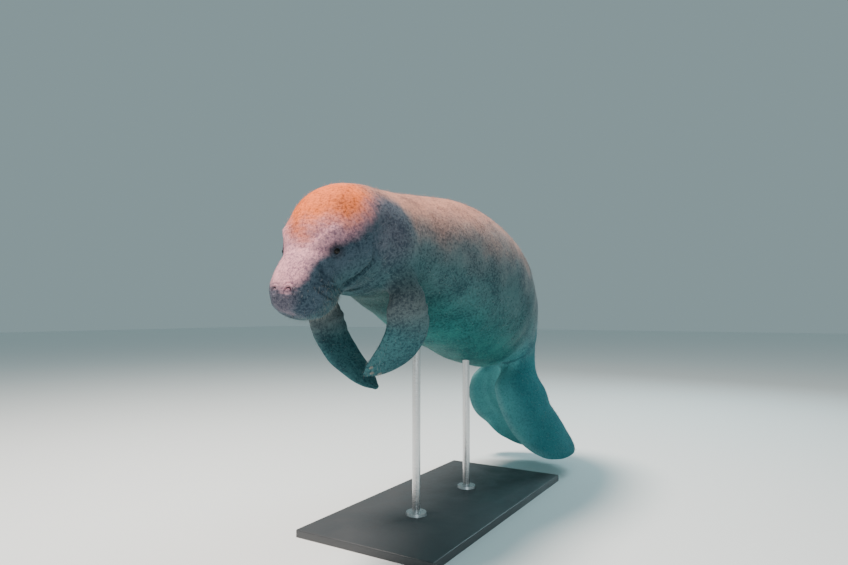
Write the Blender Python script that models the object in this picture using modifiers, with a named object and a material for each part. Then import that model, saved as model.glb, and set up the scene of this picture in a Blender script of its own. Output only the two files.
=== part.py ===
# West Indian manatee, a life-size still model on a plain display stand.
#
# The body is one smooth form along a bent spine. Every cross section is
# worked out from its place on the spine, so the same few named stations
# give the snout, the dome of the skull, the barrel of the trunk and the
# cupped paddle of the tail. Thin flat cuts part the form into its regions.
# The animal faces -Y, its left side is +X, and +Z is up. The origin is the
# centre of the underside of the stand's base.

import math
from collections import namedtuple

import bmesh
import bpy
import numpy as np
from mathutils import Matrix
from mathutils import Vector

# Driving dimensions, in metres.
LENGTH = 2.70
GAP = 0.0003
HALF_GAP = GAP / 2
# A faceted curve comes nearer between its points, so these leave a bit more.
TRIM_GAP = 1.6 * GAP
BED_GAP = 1.3 * GAP
SPINE_STEPS = 900

# The spine passes through this point of the belly, held over the base.
ANCHOR_PLACE = 0.42
ANCHOR = Vector((-0.02, -0.02, 1.055))

# Points round a section: the head is finer than the trunk.
HEAD_SIDES = 40
TRUNK_SIDES = 36
FLUKE_SIDES = 40
EDGE_THICKNESS = 0.0043

# Half sizes are shares of the body's length, and angles are degrees.
# place: share of the way from the nose to the end of the tail
# wide, above, below: half width, and height over and under the spine
# power, fullness: how square a section is, from lens to barrel
# curl: how far each side bends down round the spine, as the tail's lobes do
# pitch, turn, roll: lean of the spine up, to the left and about itself
# far: the right lobe's share of the curl
Station = namedtuple(
    "Station",
    "name place wide above below power fullness curl pitch turn roll far",
)
STATIONS = (
    Station("nose", 0.000, 0.019, 0.016, 0.016, 2.4, 0.42, 0, 69, 9, -2, 1),
    Station("disc", 0.008, 0.032, 0.022, 0.028, 2.6, 0.42, 0, 69, 9, -2, 1),
    Station("lips", 0.030, 0.040, 0.031, 0.035, 2.6, 0.42, 0, 69, 10, -5, 1),
    Station("bridge", 0.060, 0.041, 0.032, 0.047, 2.4, 0.45, 0, 49, 4, -3, 1),
    Station("eyes", 0.086, 0.053, 0.053, 0.052, 2.2, 0.48, 0, 39, 0, -4, 1),
    Station("crown", 0.120, 0.067, 0.073, 0.060, 2.1, 0.50, 0, 23, -3, -2, 1),
    Station("nape", 0.160, 0.082, 0.080, 0.067, 2.1, 0.50, 0, -6, -6, 0, 1),
    Station("shoulder", 0.220, 0.088, 0.089, 0.066, 2.1, 0.50, 0, -4, -6, 0, 1),
    Station("chest", 0.300, 0.108, 0.102, 0.090, 2.1, 0.50, 0, -3, -2, 0, 1),
    Station("belly", 0.420, 0.124, 0.122, 0.126, 2.1, 0.50, 0, -10, 1, 0, 1),
    Station("loin", 0.540, 0.120, 0.126, 0.130, 2.1, 0.50, 0, -19, -4, 0, 1),
    Station("rump", 0.640, 0.102, 0.093, 0.114, 2.1, 0.50, 0, -30, 9, -3, 1),
    Station("stock", 0.715, 0.071, 0.058, 0.090, 2.1, 0.50, 0, -48, 16, -22, 1),
    Station("waist", 0.755, 0.062, 0.042, 0.056, 2.0, 0.55, 56, -66, 22, -36, 1),
    Station("root", 0.800, 0.123, 0.030, 0.036, 1.7, 0.80, 103, -77, 25, -20, 1),
    Station("flare", 0.845, 0.146, 0.035, 0.025, 1.5, 1.00, 99, -58, 28, -11, 0.87),
    Station("paddle", 0.890, 0.152, 0.023, 0.016, 1.4, 1.00, 80, -44, 31, -8, 0.86),
    Station("fan", 0.945, 0.144, 0.016, 0.011, 1.4, 0.90, 66, -50, 31, -5, 1.14),
    Station("rim", 0.985, 0.136, 0.007, 0.007, 1.6, 0.70, 46, -51, 31, 3, 1.29),
    Station("end", 1.000, 0.136, 0.004, 0.004, 2.0, 0.50, 10, -51, 31, 3, 1.2),
)

# The paddle's outline is round from this place on to the end of the tail.
TIP_START = 0.895
TIP_REACH = 0.998

# How much closer the rings lie at the nose and at the end of the tail.
NOSE_SPACING = 1.5
TAIL_SPACING = 1.7

# The regions of the trunk, by where each begins and ends on the spine.
Region = namedtuple("Region", "node start stop rings sides shade")
REGIONS = (
    Region("muzzle", 0.000, 0.050, 13, HEAD_SIDES, "snout"),
    Region("head", 0.050, 0.158, 19, HEAD_SIDES, "crown"),
    Region("neck", 0.158, 0.205, 6, TRUNK_SIDES, "flank"),
    Region("chest", 0.205, 0.330, 7, TRUNK_SIDES, "flank"),
    Region("abdomen", 0.330, 0.500, 8, TRUNK_SIDES, "flank"),
    Region("loin", 0.500, 0.640, 8, TRUNK_SIDES, "flank"),
    Region("tail_stock", 0.640, 0.760, 9, TRUNK_SIDES, "tail"),
    Region("fluke", 0.760, 1.000, 21, FLUKE_SIDES, "tail"),
)

# Soft swellings and folds laid over the plain sections. A fold is a
# swelling with a negative height. place and angle name its centre, long and
# round its reach along the spine (share) and about it (degrees), and slant
# how far it leans along the spine for each degree round it.
Swelling = namedtuple("Swelling", "name place angle long round height slant")
SWELLINGS = (
    Swelling("left lip pad", 0.024, -28, 0.016, 34, 0.010, 0),
    Swelling("right lip pad", 0.024, 208, 0.016, 34, 0.010, 0),
    Swelling("nose pad", 0.010, 90, 0.012, 34, 0.006, 0),
    Swelling("chin", 0.040, 270, 0.020, 30, 0.004, 0),
    Swelling("left lip fold", 0.049, 2, 0.004, 26, -0.004, 0),
    Swelling("right lip fold", 0.049, 178, 0.004, 26, -0.004, 0),
    Swelling("left brow", 0.084, 46, 0.012, 16, 0.005, 0),
    Swelling("right brow", 0.084, 134, 0.012, 16, 0.005, 0),
    Swelling("left cheek", 0.080, -30, 0.013, 24, 0.006, 0),
    Swelling("right cheek", 0.080, 210, 0.013, 24, 0.006, 0),
    Swelling("left cheek fold", 0.095, -34, 0.0045, 34, -0.007, 0.0003),
    Swelling("right cheek fold", 0.095, 214, 0.0045, 34, -0.007, -0.0003),
    Swelling("throat fold", 0.150, 270, 0.010, 50, -0.005, 0),
    Swelling("left shoulder", 0.212, -20, 0.022, 20, 0.008, 0),
    Swelling("right shoulder", 0.212, 200, 0.022, 20, 0.008, 0),
    Swelling("tail crease", 0.752, 300, 0.010, 80, -0.006, 0),
)

# An eye's place on the spine and its angle above the side of the head.
EYE_PLACE = 0.073
EYE_ANGLE = 24
EYE_RADIUS = 0.0135
EYE_SINK = 0.0095
LID_RADIUS = 0.0155
LID_THICKNESS = 0.0052
LID_FLATNESS = 0.72
LID_SINK = 0.0018

# A nostril's place on the spine and its angle off the middle of the nose.
NOSTRIL_PLACE = 0.0200
NOSTRIL_ANGLE = 18
NOSTRIL_RADIUS = 0.0130
NOSTRIL_DEPTH = 0.016
VALVE_SHIFT = 0.0055
RIM_RADIUS = 0.0155
RIM_THICKNESS = 0.0042
RIM_SINK = 0.0019

# The lower jaw, tucked under the muzzle behind the lip pads.
JAW_FRONT = 0.017
JAW_BACK = 0.104
JAW_WIDTH = 0.72
JAW_TOP = 0.42
JAW_DROP = 1.03
JAW_RINGS = 12
JAW_SIDES = 24
JAW_SQUARENESS = 0.75
# Share of the jaw over which its front rounds off, and how much it narrows.
JAW_BLUNTNESS = 0.28
JAW_TAPER = 0.80
MOUTH_LINE = 0.0022

# A flipper is a loft along its bones: shoulder, elbow, wrist and tip.
# x, y, z: place from the anchor; chord, thick: half width and half thickness
# swing: which way the hind edge points, in degrees from +X toward +Y
Joint = namedtuple("Joint", "x y z chord thick swing")
LEFT_FLIPPER = (
    Joint(0.120, -0.610, 0.010, 0.060, 0.050, 62),
    Joint(0.190, -0.640, -0.050, 0.066, 0.050, 60),
    Joint(0.224, -0.638, -0.141, 0.072, 0.046, 58),
    Joint(0.211, -0.606, -0.235, 0.082, 0.034, 56),
    Joint(0.172, -0.600, -0.305, 0.078, 0.022, 54),
    Joint(0.112, -0.609, -0.364, 0.062, 0.014, 52),
    Joint(0.062, -0.620, -0.398, 0.036, 0.009, 50),
    Joint(0.042, -0.625, -0.410, 0.014, 0.005, 50),
)
RIGHT_FLIPPER = (
    Joint(-0.110, -0.590, 0.000, 0.060, 0.050, 78),
    Joint(-0.180, -0.585, -0.080, 0.066, 0.050, 76),
    Joint(-0.222, -0.562, -0.157, 0.072, 0.046, 74),
    Joint(-0.214, -0.523, -0.254, 0.080, 0.034, 72),
    Joint(-0.170, -0.502, -0.342, 0.080, 0.022, 70),
    Joint(-0.110, -0.481, -0.409, 0.066, 0.014, 68),
    Joint(-0.060, -0.462, -0.458, 0.040, 0.009, 66),
    Joint(-0.036, -0.454, -0.478, 0.016, 0.005, 66),
)
FLIPPER_SIDES = 16
ARM_RINGS = 9
HAND_RINGS = 13
HAND_SPACING = 1.3
WRIST = 0.50
NAILS = 3
NAIL_PLACE = 0.955
NAIL_LENGTH = 0.0100
NAIL_WIDTH = 0.0065
NAIL_THICKNESS = 0.0038
NAIL_SINK = 0.0012
# Distance between nails as a share of the hand, and how the outer two lag.
NAIL_SPREAD = 0.56
NAIL_LAG = 0.03

# The display stand: a flat base and two upright rods.
BASE_LENGTH = 1.30
BASE_WIDTH = 0.62
BASE_THICKNESS = 0.030
BASE_EDGE = 0.006
ROD_RADIUS = 0.017
FOOT_RADIUS = 0.045
FOOT_HEIGHT = 0.012
FRONT_ROD = (0.0, -0.26)
REAR_ROD = (0.0, 0.20)

COLOURS = {
    "snout": (0.42, 0.31, 0.31, 1.0),
    "crown": (0.55, 0.33, 0.22, 1.0),
    "flank": (0.25, 0.23, 0.21, 1.0),
    "tail": (0.12, 0.20, 0.22, 1.0),
    "flipper": (0.20, 0.18, 0.18, 1.0),
    "eye": (0.015, 0.012, 0.010, 1.0),
    "nail": (0.45, 0.40, 0.33, 1.0),
    "base": (0.09, 0.09, 0.10, 1.0),
    "rod": (0.62, 0.62, 0.63, 1.0),
}


def clear_scene():
    for item in list(bpy.data.objects):
        bpy.data.objects.remove(item, do_unlink=True)


def make_collection(name):
    group = bpy.data.collections.new(name)
    bpy.context.scene.collection.children.link(group)
    return group


def paint(item, shade):
    material = bpy.data.materials.new(item.name)
    material.use_nodes = True
    shader = material.node_tree.nodes["Principled BSDF"]
    shader.inputs["Base Color"].default_value = COLOURS[shade]
    shader.inputs["Roughness"].default_value = 0.1 if shade == "eye" else 0.6
    shader.inputs["Metallic"].default_value = 1.0 if shade == "rod" else 0.0
    item.data.materials.append(material)


# Monotone cubic curve through the stations, so a width never overshoots.
def smooth_curve(places, values):
    places = np.array(places, dtype=float)
    values = np.array(values, dtype=float)
    spans = np.diff(places)
    rises = np.diff(values) / spans
    slopes = np.zeros(len(places))
    for index in range(1, len(places) - 1):
        before = rises[index - 1]
        after = rises[index]
        if before * after > 0:
            first = 2 * spans[index] + spans[index - 1]
            second = spans[index] + 2 * spans[index - 1]
            slopes[index] = (first + second) / (first / before + second / after)
    slopes[0] = rises[0]
    slopes[-1] = rises[-1]

    def read(place):
        index = int(np.clip(np.searchsorted(places, place) - 1, 0, len(spans) - 1))
        span = spans[index]
        t = (place - places[index]) / span
        start = (1 + 2 * t) * (1 - t) ** 2 * values[index]
        leave = t * (1 - t) ** 2 * span * slopes[index]
        finish = t * t * (3 - 2 * t) * values[index + 1]
        arrive = t * t * (t - 1) * span * slopes[index + 1]
        return float(start + leave + finish + arrive)

    return read


PLACES = [station.place for station in STATIONS]
MEASURES = {
    field: smooth_curve(PLACES, [getattr(station, field) for station in STATIONS])
    for field in Station._fields[2:]
}


# Side, upward and tailward directions of the spine at a place.
def spine_axes(place):
    pitch = math.radians(MEASURES["pitch"](place))
    turn = math.radians(MEASURES["turn"](place))
    roll = math.radians(MEASURES["roll"](place))
    level = math.cos(pitch)
    tailward = Vector((math.sin(turn) * level, math.cos(turn) * level, math.sin(pitch)))
    side = Vector((math.cos(turn), -math.sin(turn), 0.0))
    upward = side.cross(tailward)
    rolled_side = side * math.cos(roll) + upward * math.sin(roll)
    rolled_up = upward * math.cos(roll) - side * math.sin(roll)
    return rolled_side, rolled_up, tailward


# The spine is walked in small steps and then moved onto the anchor.
def walk_spine():
    step = 1.0 / SPINE_STEPS
    points = [Vector((0, 0, 0))]
    for index in range(SPINE_STEPS):
        tailward = spine_axes((index + 0.5) * step)[2]
        points.append(points[-1] + tailward * (LENGTH * step))
    shift = ANCHOR - points[round(ANCHOR_PLACE * SPINE_STEPS)]
    return [point + shift for point in points]


SPINE = walk_spine()


def spine_point(place):
    spot = min(max(place, 0.0), 1.0) * SPINE_STEPS
    index = min(int(spot), SPINE_STEPS - 1)
    return SPINE[index].lerp(SPINE[index + 1], spot - index)


def relief(place, angle):
    total = 0.0
    for swelling in SWELLINGS:
        turn = (angle - swelling.angle + 180) % 360 - 180
        along = (place - swelling.place - swelling.slant * turn) / swelling.long
        about = turn / swelling.round
        total += swelling.height * math.exp(-along * along - about * about)
    return total


# One point of the skin. angle runs from the left side, over the back, round.
def skin_point(place, angle, swell=0.0):
    past = TIP_REACH * max(0.0, place - TIP_START) / (1 - TIP_START)
    wide = MEASURES["wide"](place) * math.sqrt(1 - past * past) * LENGTH + swell
    turn = math.radians(angle)
    over = math.sin(turn)
    above = over > 0
    height = MEASURES["above" if above else "below"](place) * LENGTH + swell
    edge = min(EDGE_THICKNESS, height / 2)
    across = math.cos(turn)
    body = max(0.0, 1 - abs(across) ** MEASURES["power"](place)) ** MEASURES["fullness"](place)
    rim = math.sqrt(max(0.0, 1 - abs(across) ** 6))
    lift = math.copysign((height - edge) * body + edge * rim, over) if abs(over) > 1e-9 else 0.0
    out = wide * across
    bump = relief(place, angle)
    out += bump * across
    lift += bump * over
    curl = math.radians(MEASURES["curl"](place))
    if across < 0:
        curl *= MEASURES["far"](place)
    curl = max(curl, 1e-3)
    radius = wide / curl
    bend = out / radius
    sideways = (radius + lift) * math.sin(bend)
    upward = (radius + lift) * math.cos(bend) - radius
    side, up, _ = spine_axes(place)
    return spine_point(place) + side * sideways + up * upward


def section(place, sides, swell=0.0, shift=0.0):
    tailward = spine_axes(place)[2]
    return [
        skin_point(place, 360.0 * index / sides, swell) + tailward * shift
        for index in range(sides)
    ]


# A closed loft through rings of unlike sections, with flat ends.
def loft(name, rings, group):
    shape = bmesh.new()
    loops = [[shape.verts.new(point) for point in ring] for ring in rings]
    count = len(rings[0])
    for front, back in zip(loops, loops[1:]):
        for index in range(count):
            after = (index + 1) % count
            shape.faces.new((front[index], back[index], back[after]))
            shape.faces.new((front[index], back[after], front[after]))
    shape.faces.new(loops[0])
    shape.faces.new(list(reversed(loops[-1])))
    bmesh.ops.recalc_face_normals(shape, faces=shape.faces)
    mesh = bpy.data.meshes.new(name)
    shape.to_mesh(mesh)
    shape.free()
    item = bpy.data.objects.new(name, mesh)
    group.objects.link(item)
    return item


def spaced(start, stop, count):
    return [start + (stop - start) * index / (count - 1) for index in range(count)]


# Places of a region's rings; the nose and tail end close with finer steps.
def ring_places(region):
    steps = spaced(0.0, 1.0, region.rings)
    if region.start == 0.0:
        steps = [step ** NOSE_SPACING for step in steps]
    if region.stop == 1.0:
        steps = [1 - (1 - step) ** TAIL_SPACING for step in steps]
    return [region.start + (region.stop - region.start) * step for step in steps]


def region_rings(region, swell=0.0):
    rings = []
    places = ring_places(region)
    for index, place in enumerate(places):
        shift = 0.0
        if index == 0 and region.start > 0.0:
            shift = HALF_GAP
        if index == len(places) - 1 and region.stop < 1.0:
            shift = -HALF_GAP
        rings.append(section(place, region.sides, swell, shift))
    return rings


def make_regions(group):
    nodes = {}
    for region in REGIONS:
        nodes[region.node] = loft(region.node, region_rings(region), group)
        paint(nodes[region.node], region.shade)
    return nodes


def hide_cutter(item):
    item.hide_render = True
    item.display_type = "WIRE"


# Head and trunk a hair larger, to trim whatever meets them from outside.
def make_body_cutters(group):
    cutters = []
    for sides in (HEAD_SIDES, TRUNK_SIDES):
        rings = []
        for region in REGIONS:
            if region.sides != sides or region.node == "muzzle":
                continue
            rings.extend(section(place, sides, TRIM_GAP) for place in ring_places(region))
        distinct = [rings[0]]
        for ring in rings[1:]:
            if (ring[0] - distinct[-1][0]).length > GAP:
                distinct.append(ring)
        cutter = loft("body_cutter_" + str(sides), distinct, group)
        hide_cutter(cutter)
        cutters.append(cutter)
    return cutters


def trim_to_body(item, body_cutters):
    for cutter in body_cutters:
        combine(item, cutter, "DIFFERENCE")


def apply_modifiers(item):
    graph = bpy.context.evaluated_depsgraph_get()
    mesh = bpy.data.meshes.new_from_object(item.evaluated_get(graph))
    item.modifiers.clear()
    item.data = mesh


def keep_largest(item):
    shape = bmesh.new()
    shape.from_mesh(item.data)
    unseen = set(shape.faces)
    bodies = []
    while unseen:
        front = [unseen.pop()]
        body = list(front)
        while front:
            face = front.pop()
            for edge in face.edges:
                for near in edge.link_faces:
                    if near in unseen:
                        unseen.discard(near)
                        front.append(near)
                        body.append(near)
        bodies.append(body)
    bodies.sort(key=len)
    loose = [face for body in bodies[:-1] for face in body]
    bmesh.ops.delete(shape, geom=loose, context="FACES")
    shape.to_mesh(item.data)
    shape.free()


def combine(item, other, operation):
    modifier = item.modifiers.new(operation.lower(), "BOOLEAN")
    modifier.operation = operation
    modifier.object = other
    modifier.solver = "EXACT"
    apply_modifiers(item)
    keep_largest(item)


# Frame of the skin at a place: its point, outward normal and two tangents.
def skin_frame(place, angle):
    point = skin_point(place, angle)
    forward = skin_point(place - 0.003, angle) - skin_point(place + 0.003, angle)
    around = skin_point(place, angle + 2) - skin_point(place, angle - 2)
    forward.normalize()
    normal = around.cross(forward).normalized()
    if normal.dot(point - spine_point(place)) < 0:
        normal.negate()
    across = normal.cross(forward).normalized()
    axes = Matrix((forward, across, normal)).transposed()
    return point, axes


def place_on_skin(item, point, axes):
    item.matrix_world = Matrix.Translation(point) @ axes.to_4x4()


def add_sphere(name, radius, group, segments=20, rings=12):
    shape = bmesh.new()
    bmesh.ops.create_uvsphere(shape, u_segments=segments, v_segments=rings, radius=radius)
    mesh = bpy.data.meshes.new(name)
    shape.to_mesh(mesh)
    shape.free()
    item = bpy.data.objects.new(name, mesh)
    group.objects.link(item)
    return item


def add_torus(name, ring, tube, group, segments=20, sides=8):
    bpy.ops.mesh.primitive_torus_add(
        major_radius=ring,
        minor_radius=tube,
        major_segments=segments,
        minor_segments=sides,
    )
    item = bpy.context.active_object
    item.name = name
    for owner in list(item.users_collection):
        owner.objects.unlink(item)
    group.objects.link(item)
    return item


def add_cylinder(name, radius, depth, group, sides=24):
    shape = bmesh.new()
    bmesh.ops.create_cone(
        shape,
        cap_ends=True,
        segments=sides,
        radius1=radius,
        radius2=radius,
        depth=depth,
    )
    mesh = bpy.data.meshes.new(name)
    shape.to_mesh(mesh)
    shape.free()
    item = bpy.data.objects.new(name, mesh)
    group.objects.link(item)
    return item


def bake_scale(item, scale):
    item.data.transform(Matrix.Diagonal((*scale, 1.0)))


# The eye, a small dark ball deep in its socket between two thick lids.
def make_eye(side, angle, head, parts, cutters):
    point, axes = skin_frame(EYE_PLACE, angle)
    normal = axes.col[2]
    centre = point - normal * EYE_SINK
    lids = add_torus("lids_" + side, LID_RADIUS, LID_THICKNESS, cutters)
    bake_scale(lids, (1.0, LID_FLATNESS, 1.0))
    place_on_skin(lids, point - normal * LID_SINK, axes)
    bpy.context.view_layer.update()
    combine(head, lids, "UNION")
    socket = add_sphere("socket_" + side, EYE_RADIUS + GAP, cutters)
    place_on_skin(socket, centre, axes)
    bpy.context.view_layer.update()
    combine(head, socket, "DIFFERENCE")
    eye = add_sphere("eye_" + side, EYE_RADIUS, parts)
    place_on_skin(eye, centre, axes)
    eye.data.shade_smooth()
    paint(eye, "eye")
    hide_cutter(lids)
    hide_cutter(socket)


# A nostril: a raised rim round a crescent slit, closed by its own valve.
def make_nostril(side, angle, muzzle, cutters):
    point, axes = skin_frame(NOSTRIL_PLACE, angle)
    normal = axes.col[2]
    rim = add_torus("rim_" + side, RIM_RADIUS, RIM_THICKNESS, cutters)
    place_on_skin(rim, point - normal * RIM_SINK, axes)
    bpy.context.view_layer.update()
    combine(muzzle, rim, "UNION")
    slit = add_cylinder("slit_" + side, NOSTRIL_RADIUS, NOSTRIL_DEPTH * 2, cutters)
    valve = add_cylinder("valve_" + side, NOSTRIL_RADIUS, NOSTRIL_DEPTH * 3, cutters)
    valve.location = (VALVE_SHIFT, 0.0, 0.0)
    bpy.context.view_layer.update()
    combine(slit, valve, "DIFFERENCE")
    place_on_skin(slit, point, axes)
    bpy.context.view_layer.update()
    combine(muzzle, slit, "DIFFERENCE")
    for item in (rim, slit, valve):
        hide_cutter(item)


# Pushes a rounded section out toward its corners.
def squared(value):
    return math.copysign(abs(value) ** JAW_SQUARENESS, value)


# Rings of the lower jaw; grow widens it into the groove that it sits in.
def jaw_rings(grow, back_grow):
    rings = []
    for step in spaced(0.0, 1.0, JAW_RINGS):
        place = JAW_FRONT + (JAW_BACK - JAW_FRONT) * step
        side, up, tailward = spine_axes(place)
        centre = spine_point(place)
        short = 1 - min(1.0, step / JAW_BLUNTNESS)
        rounding = math.sqrt(1 - JAW_TAPER * short * short)
        wide = MEASURES["wide"](place) * LENGTH * JAW_WIDTH * rounding + grow
        depth = MEASURES["below"](place) * LENGTH
        top = -depth * JAW_TOP + grow
        bottom = -depth * (JAW_TOP + (JAW_DROP - JAW_TOP) * rounding) - grow
        middle = (top + bottom) / 2
        half = (top - bottom) / 2
        shift = 0.0
        if step == 0.0:
            shift = -grow
        if step == 1.0:
            shift = back_grow
        ring = []
        for index in range(JAW_SIDES):
            turn = math.tau * index / JAW_SIDES
            across = squared(math.cos(turn))
            lift = squared(math.sin(turn))
            offset = side * (wide * across) + up * (middle + half * lift)
            ring.append(centre + offset + tailward * shift)
        rings.append(ring)
    return rings


def make_jaw(nodes, parts, cutters):
    groove = loft("mouth_cutter", jaw_rings(MOUTH_LINE, GAP), cutters)
    hide_cutter(groove)
    for name in ("muzzle", "head"):
        combine(nodes[name], groove, "DIFFERENCE")
    jaw = loft("lower_jaw", jaw_rings(0.0, 0.0), parts)
    paint(jaw, "snout")
    nodes["lower_jaw"] = jaw


def flipper_reader(joints):
    points = [Vector((joint.x, joint.y, joint.z)) + ANCHOR for joint in joints]
    runs = [0.0]
    for before, after in zip(points, points[1:]):
        runs.append(runs[-1] + (after - before).length)
    shares = [run / runs[-1] for run in runs]
    curves = [smooth_curve(shares, [point[axis] for point in points]) for axis in range(3)]
    chord = smooth_curve(shares, [joint.chord for joint in joints])
    thick = smooth_curve(shares, [joint.thick for joint in joints])
    swing = smooth_curve(shares, [joint.swing for joint in joints])

    def centre(share):
        return Vector([curve(share) for curve in curves])

    def frame(share):
        ahead = centre(min(1.0, share + 0.02)) - centre(max(0.0, share - 0.02))
        ahead.normalize()
        angle = math.radians(swing(share))
        hind = Vector((math.cos(angle), math.sin(angle), 0.0))
        hind -= ahead * hind.dot(ahead)
        hind.normalize()
        return centre(share), hind, ahead.cross(hind), ahead

    def ring(share, grow=0.0, shift=0.0):
        middle, hind, face, ahead = frame(share)
        points_round = []
        for index in range(FLIPPER_SIDES):
            turn = math.tau * index / FLIPPER_SIDES
            across = math.cos(turn) * (chord(share) + grow)
            lift = math.sin(turn) * (thick(share) + grow)
            points_round.append(middle + hind * across + face * lift + ahead * shift)
        return points_round

    return frame, ring, thick, chord


# One flipper: an upper arm trimmed to the flank, and a broad flat hand.
def make_flipper(side, joints, body_cutters, parts, cutters):
    frame, ring, thick, chord = flipper_reader(joints)
    arm_rings = [ring(share) for share in spaced(0.0, WRIST, ARM_RINGS)[:-1]]
    arm_rings.append(ring(WRIST, shift=-HALF_GAP))
    arm = loft("flipper_" + side + "_arm", arm_rings, parts)
    trim_to_body(arm, body_cutters)
    paint(arm, "flipper")
    steps = [1 - (1 - step) ** HAND_SPACING for step in spaced(0.0, 1.0, HAND_RINGS)]
    shares = [WRIST + (1 - WRIST) * step for step in steps]
    hand_rings = [ring(shares[0], shift=HALF_GAP)]
    hand_rings.extend(ring(share) for share in shares[1:])
    hand = loft("flipper_" + side + "_hand", hand_rings, parts)
    trim_to_body(hand, body_cutters)
    paint(hand, "flipper")
    make_nails(side, frame, thick, chord, hand, parts, cutters)


# Blunt nails on the outer face of the hand, just behind its tip.
def make_nails(side, frame, thick, chord, hand, parts, cutters):
    for index in range(NAILS):
        from_middle = index - (NAILS - 1) / 2
        offset = from_middle * NAIL_SPREAD
        share = NAIL_PLACE - NAIL_LAG * abs(from_middle)
        middle, hind, face, ahead = frame(share)
        outward = face if face.x * (1 if side == "left" else -1) > 0 else -face
        height = thick(share) * math.sqrt(1 - offset * offset)
        point = middle + hind * (chord(share) * offset) + outward * (height - NAIL_SINK)
        axes = Matrix((ahead, outward.cross(ahead), outward)).transposed()
        sizes = (NAIL_LENGTH, NAIL_WIDTH, NAIL_THICKNESS)
        name = "nail_" + side + "_" + str(index + 1)
        nail = add_sphere(name, 1.0, parts, 12, 8)
        bake_scale(nail, sizes)
        bed = add_sphere("bed_" + name, 1.0, cutters, 12, 8)
        bake_scale(bed, [size + BED_GAP for size in sizes])
        for item in (nail, bed):
            place_on_skin(item, point, axes)
        bpy.context.view_layer.update()
        combine(hand, bed, "DIFFERENCE")
        nail.data.shade_smooth()
        paint(nail, "nail")
        hide_cutter(bed)


def add_box(name, size, centre, group):
    shape = bmesh.new()
    bmesh.ops.create_cube(shape, size=1.0)
    bmesh.ops.scale(shape, vec=size, verts=shape.verts)
    bmesh.ops.translate(shape, vec=centre, verts=shape.verts)
    mesh = bpy.data.meshes.new(name)
    shape.to_mesh(mesh)
    shape.free()
    item = bpy.data.objects.new(name, mesh)
    group.objects.link(item)
    return item


# The stand: the rods rise from round feet and are trimmed to the belly.
def make_stand(body_cutters, parts):
    centre = (0.0, 0.0, BASE_THICKNESS / 2)
    base = add_box("stand_base", (BASE_WIDTH, BASE_LENGTH, BASE_THICKNESS), centre, parts)
    bevel = base.modifiers.new("edge", "BEVEL")
    bevel.width = BASE_EDGE
    bevel.segments = 2
    paint(base, "base")
    for name, spot in (("stand_rod_front", FRONT_ROD), ("stand_rod_rear", REAR_ROD)):
        bottom = BASE_THICKNESS + GAP
        top = ANCHOR.z
        rod = add_cylinder(name, ROD_RADIUS, top - bottom, parts, 20)
        rod.location = (spot[0], spot[1], (top + bottom) / 2)
        foot = add_cylinder(name + "_foot", FOOT_RADIUS, FOOT_HEIGHT, parts, 28)
        foot.location = (spot[0], spot[1], bottom + FOOT_HEIGHT / 2)
        bpy.context.view_layer.update()
        combine(rod, foot, "UNION")
        bpy.data.objects.remove(foot, do_unlink=True)
        trim_to_body(rod, body_cutters)
        paint(rod, "rod")


def main():
    clear_scene()
    parts = make_collection("manatee")
    cutters = make_collection("cutters")
    nodes = make_regions(parts)
    body_cutters = make_body_cutters(cutters)
    make_jaw(nodes, parts, cutters)
    for side, turn in (("left", 1), ("right", -1)):
        eye_angle = 90 - turn * (90 - EYE_ANGLE)
        nostril_angle = 90 - turn * NOSTRIL_ANGLE
        make_eye(side, eye_angle, nodes["head"], parts, cutters)
        make_nostril(side, nostril_angle, nodes["muzzle"], cutters)
    make_flipper("left", LEFT_FLIPPER, body_cutters, parts, cutters)
    make_flipper("right", RIGHT_FLIPPER, body_cutters, parts, cutters)
    make_stand(body_cutters, parts)
    for item in parts.objects:
        item.data.shade_smooth()
        item.data.set_sharp_from_angle(angle=math.radians(40))


main()
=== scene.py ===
# %% [markdown]
# # A life-size manatee on a display stand
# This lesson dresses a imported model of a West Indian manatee.

# %% Load the frame
import math
import bmesh
import bpy
import numpy as np
from mathutils import Matrix
from mathutils import Vector
from mathutils import noise


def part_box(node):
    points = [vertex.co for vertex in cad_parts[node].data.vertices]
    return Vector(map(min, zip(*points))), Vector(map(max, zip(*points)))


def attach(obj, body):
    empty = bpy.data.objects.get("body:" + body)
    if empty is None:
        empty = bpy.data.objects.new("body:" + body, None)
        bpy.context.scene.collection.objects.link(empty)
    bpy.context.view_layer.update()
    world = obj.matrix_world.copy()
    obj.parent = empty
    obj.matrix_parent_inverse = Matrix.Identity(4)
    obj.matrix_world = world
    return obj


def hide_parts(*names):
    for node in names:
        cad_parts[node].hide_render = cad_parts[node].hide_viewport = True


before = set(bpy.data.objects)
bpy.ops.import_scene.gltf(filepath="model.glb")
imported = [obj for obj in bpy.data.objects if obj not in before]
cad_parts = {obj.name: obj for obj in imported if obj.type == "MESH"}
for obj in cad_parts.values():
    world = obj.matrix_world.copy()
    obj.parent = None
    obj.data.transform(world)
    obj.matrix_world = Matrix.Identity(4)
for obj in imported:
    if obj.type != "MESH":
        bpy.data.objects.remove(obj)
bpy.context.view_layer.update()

# %% [markdown]
# ## The measures of the body
# A manatee is a barrel that narrows to a snout at one end and spreads to a
# paddle at the other. It could be sculpted, but a sculpt can't be measured.
# Here a few stations along the spine hold the widths, heights, lean and
# curl, and a smooth curve joins them, so that one small table gives the
# whole body and keeps it equal to the solids.

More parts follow.
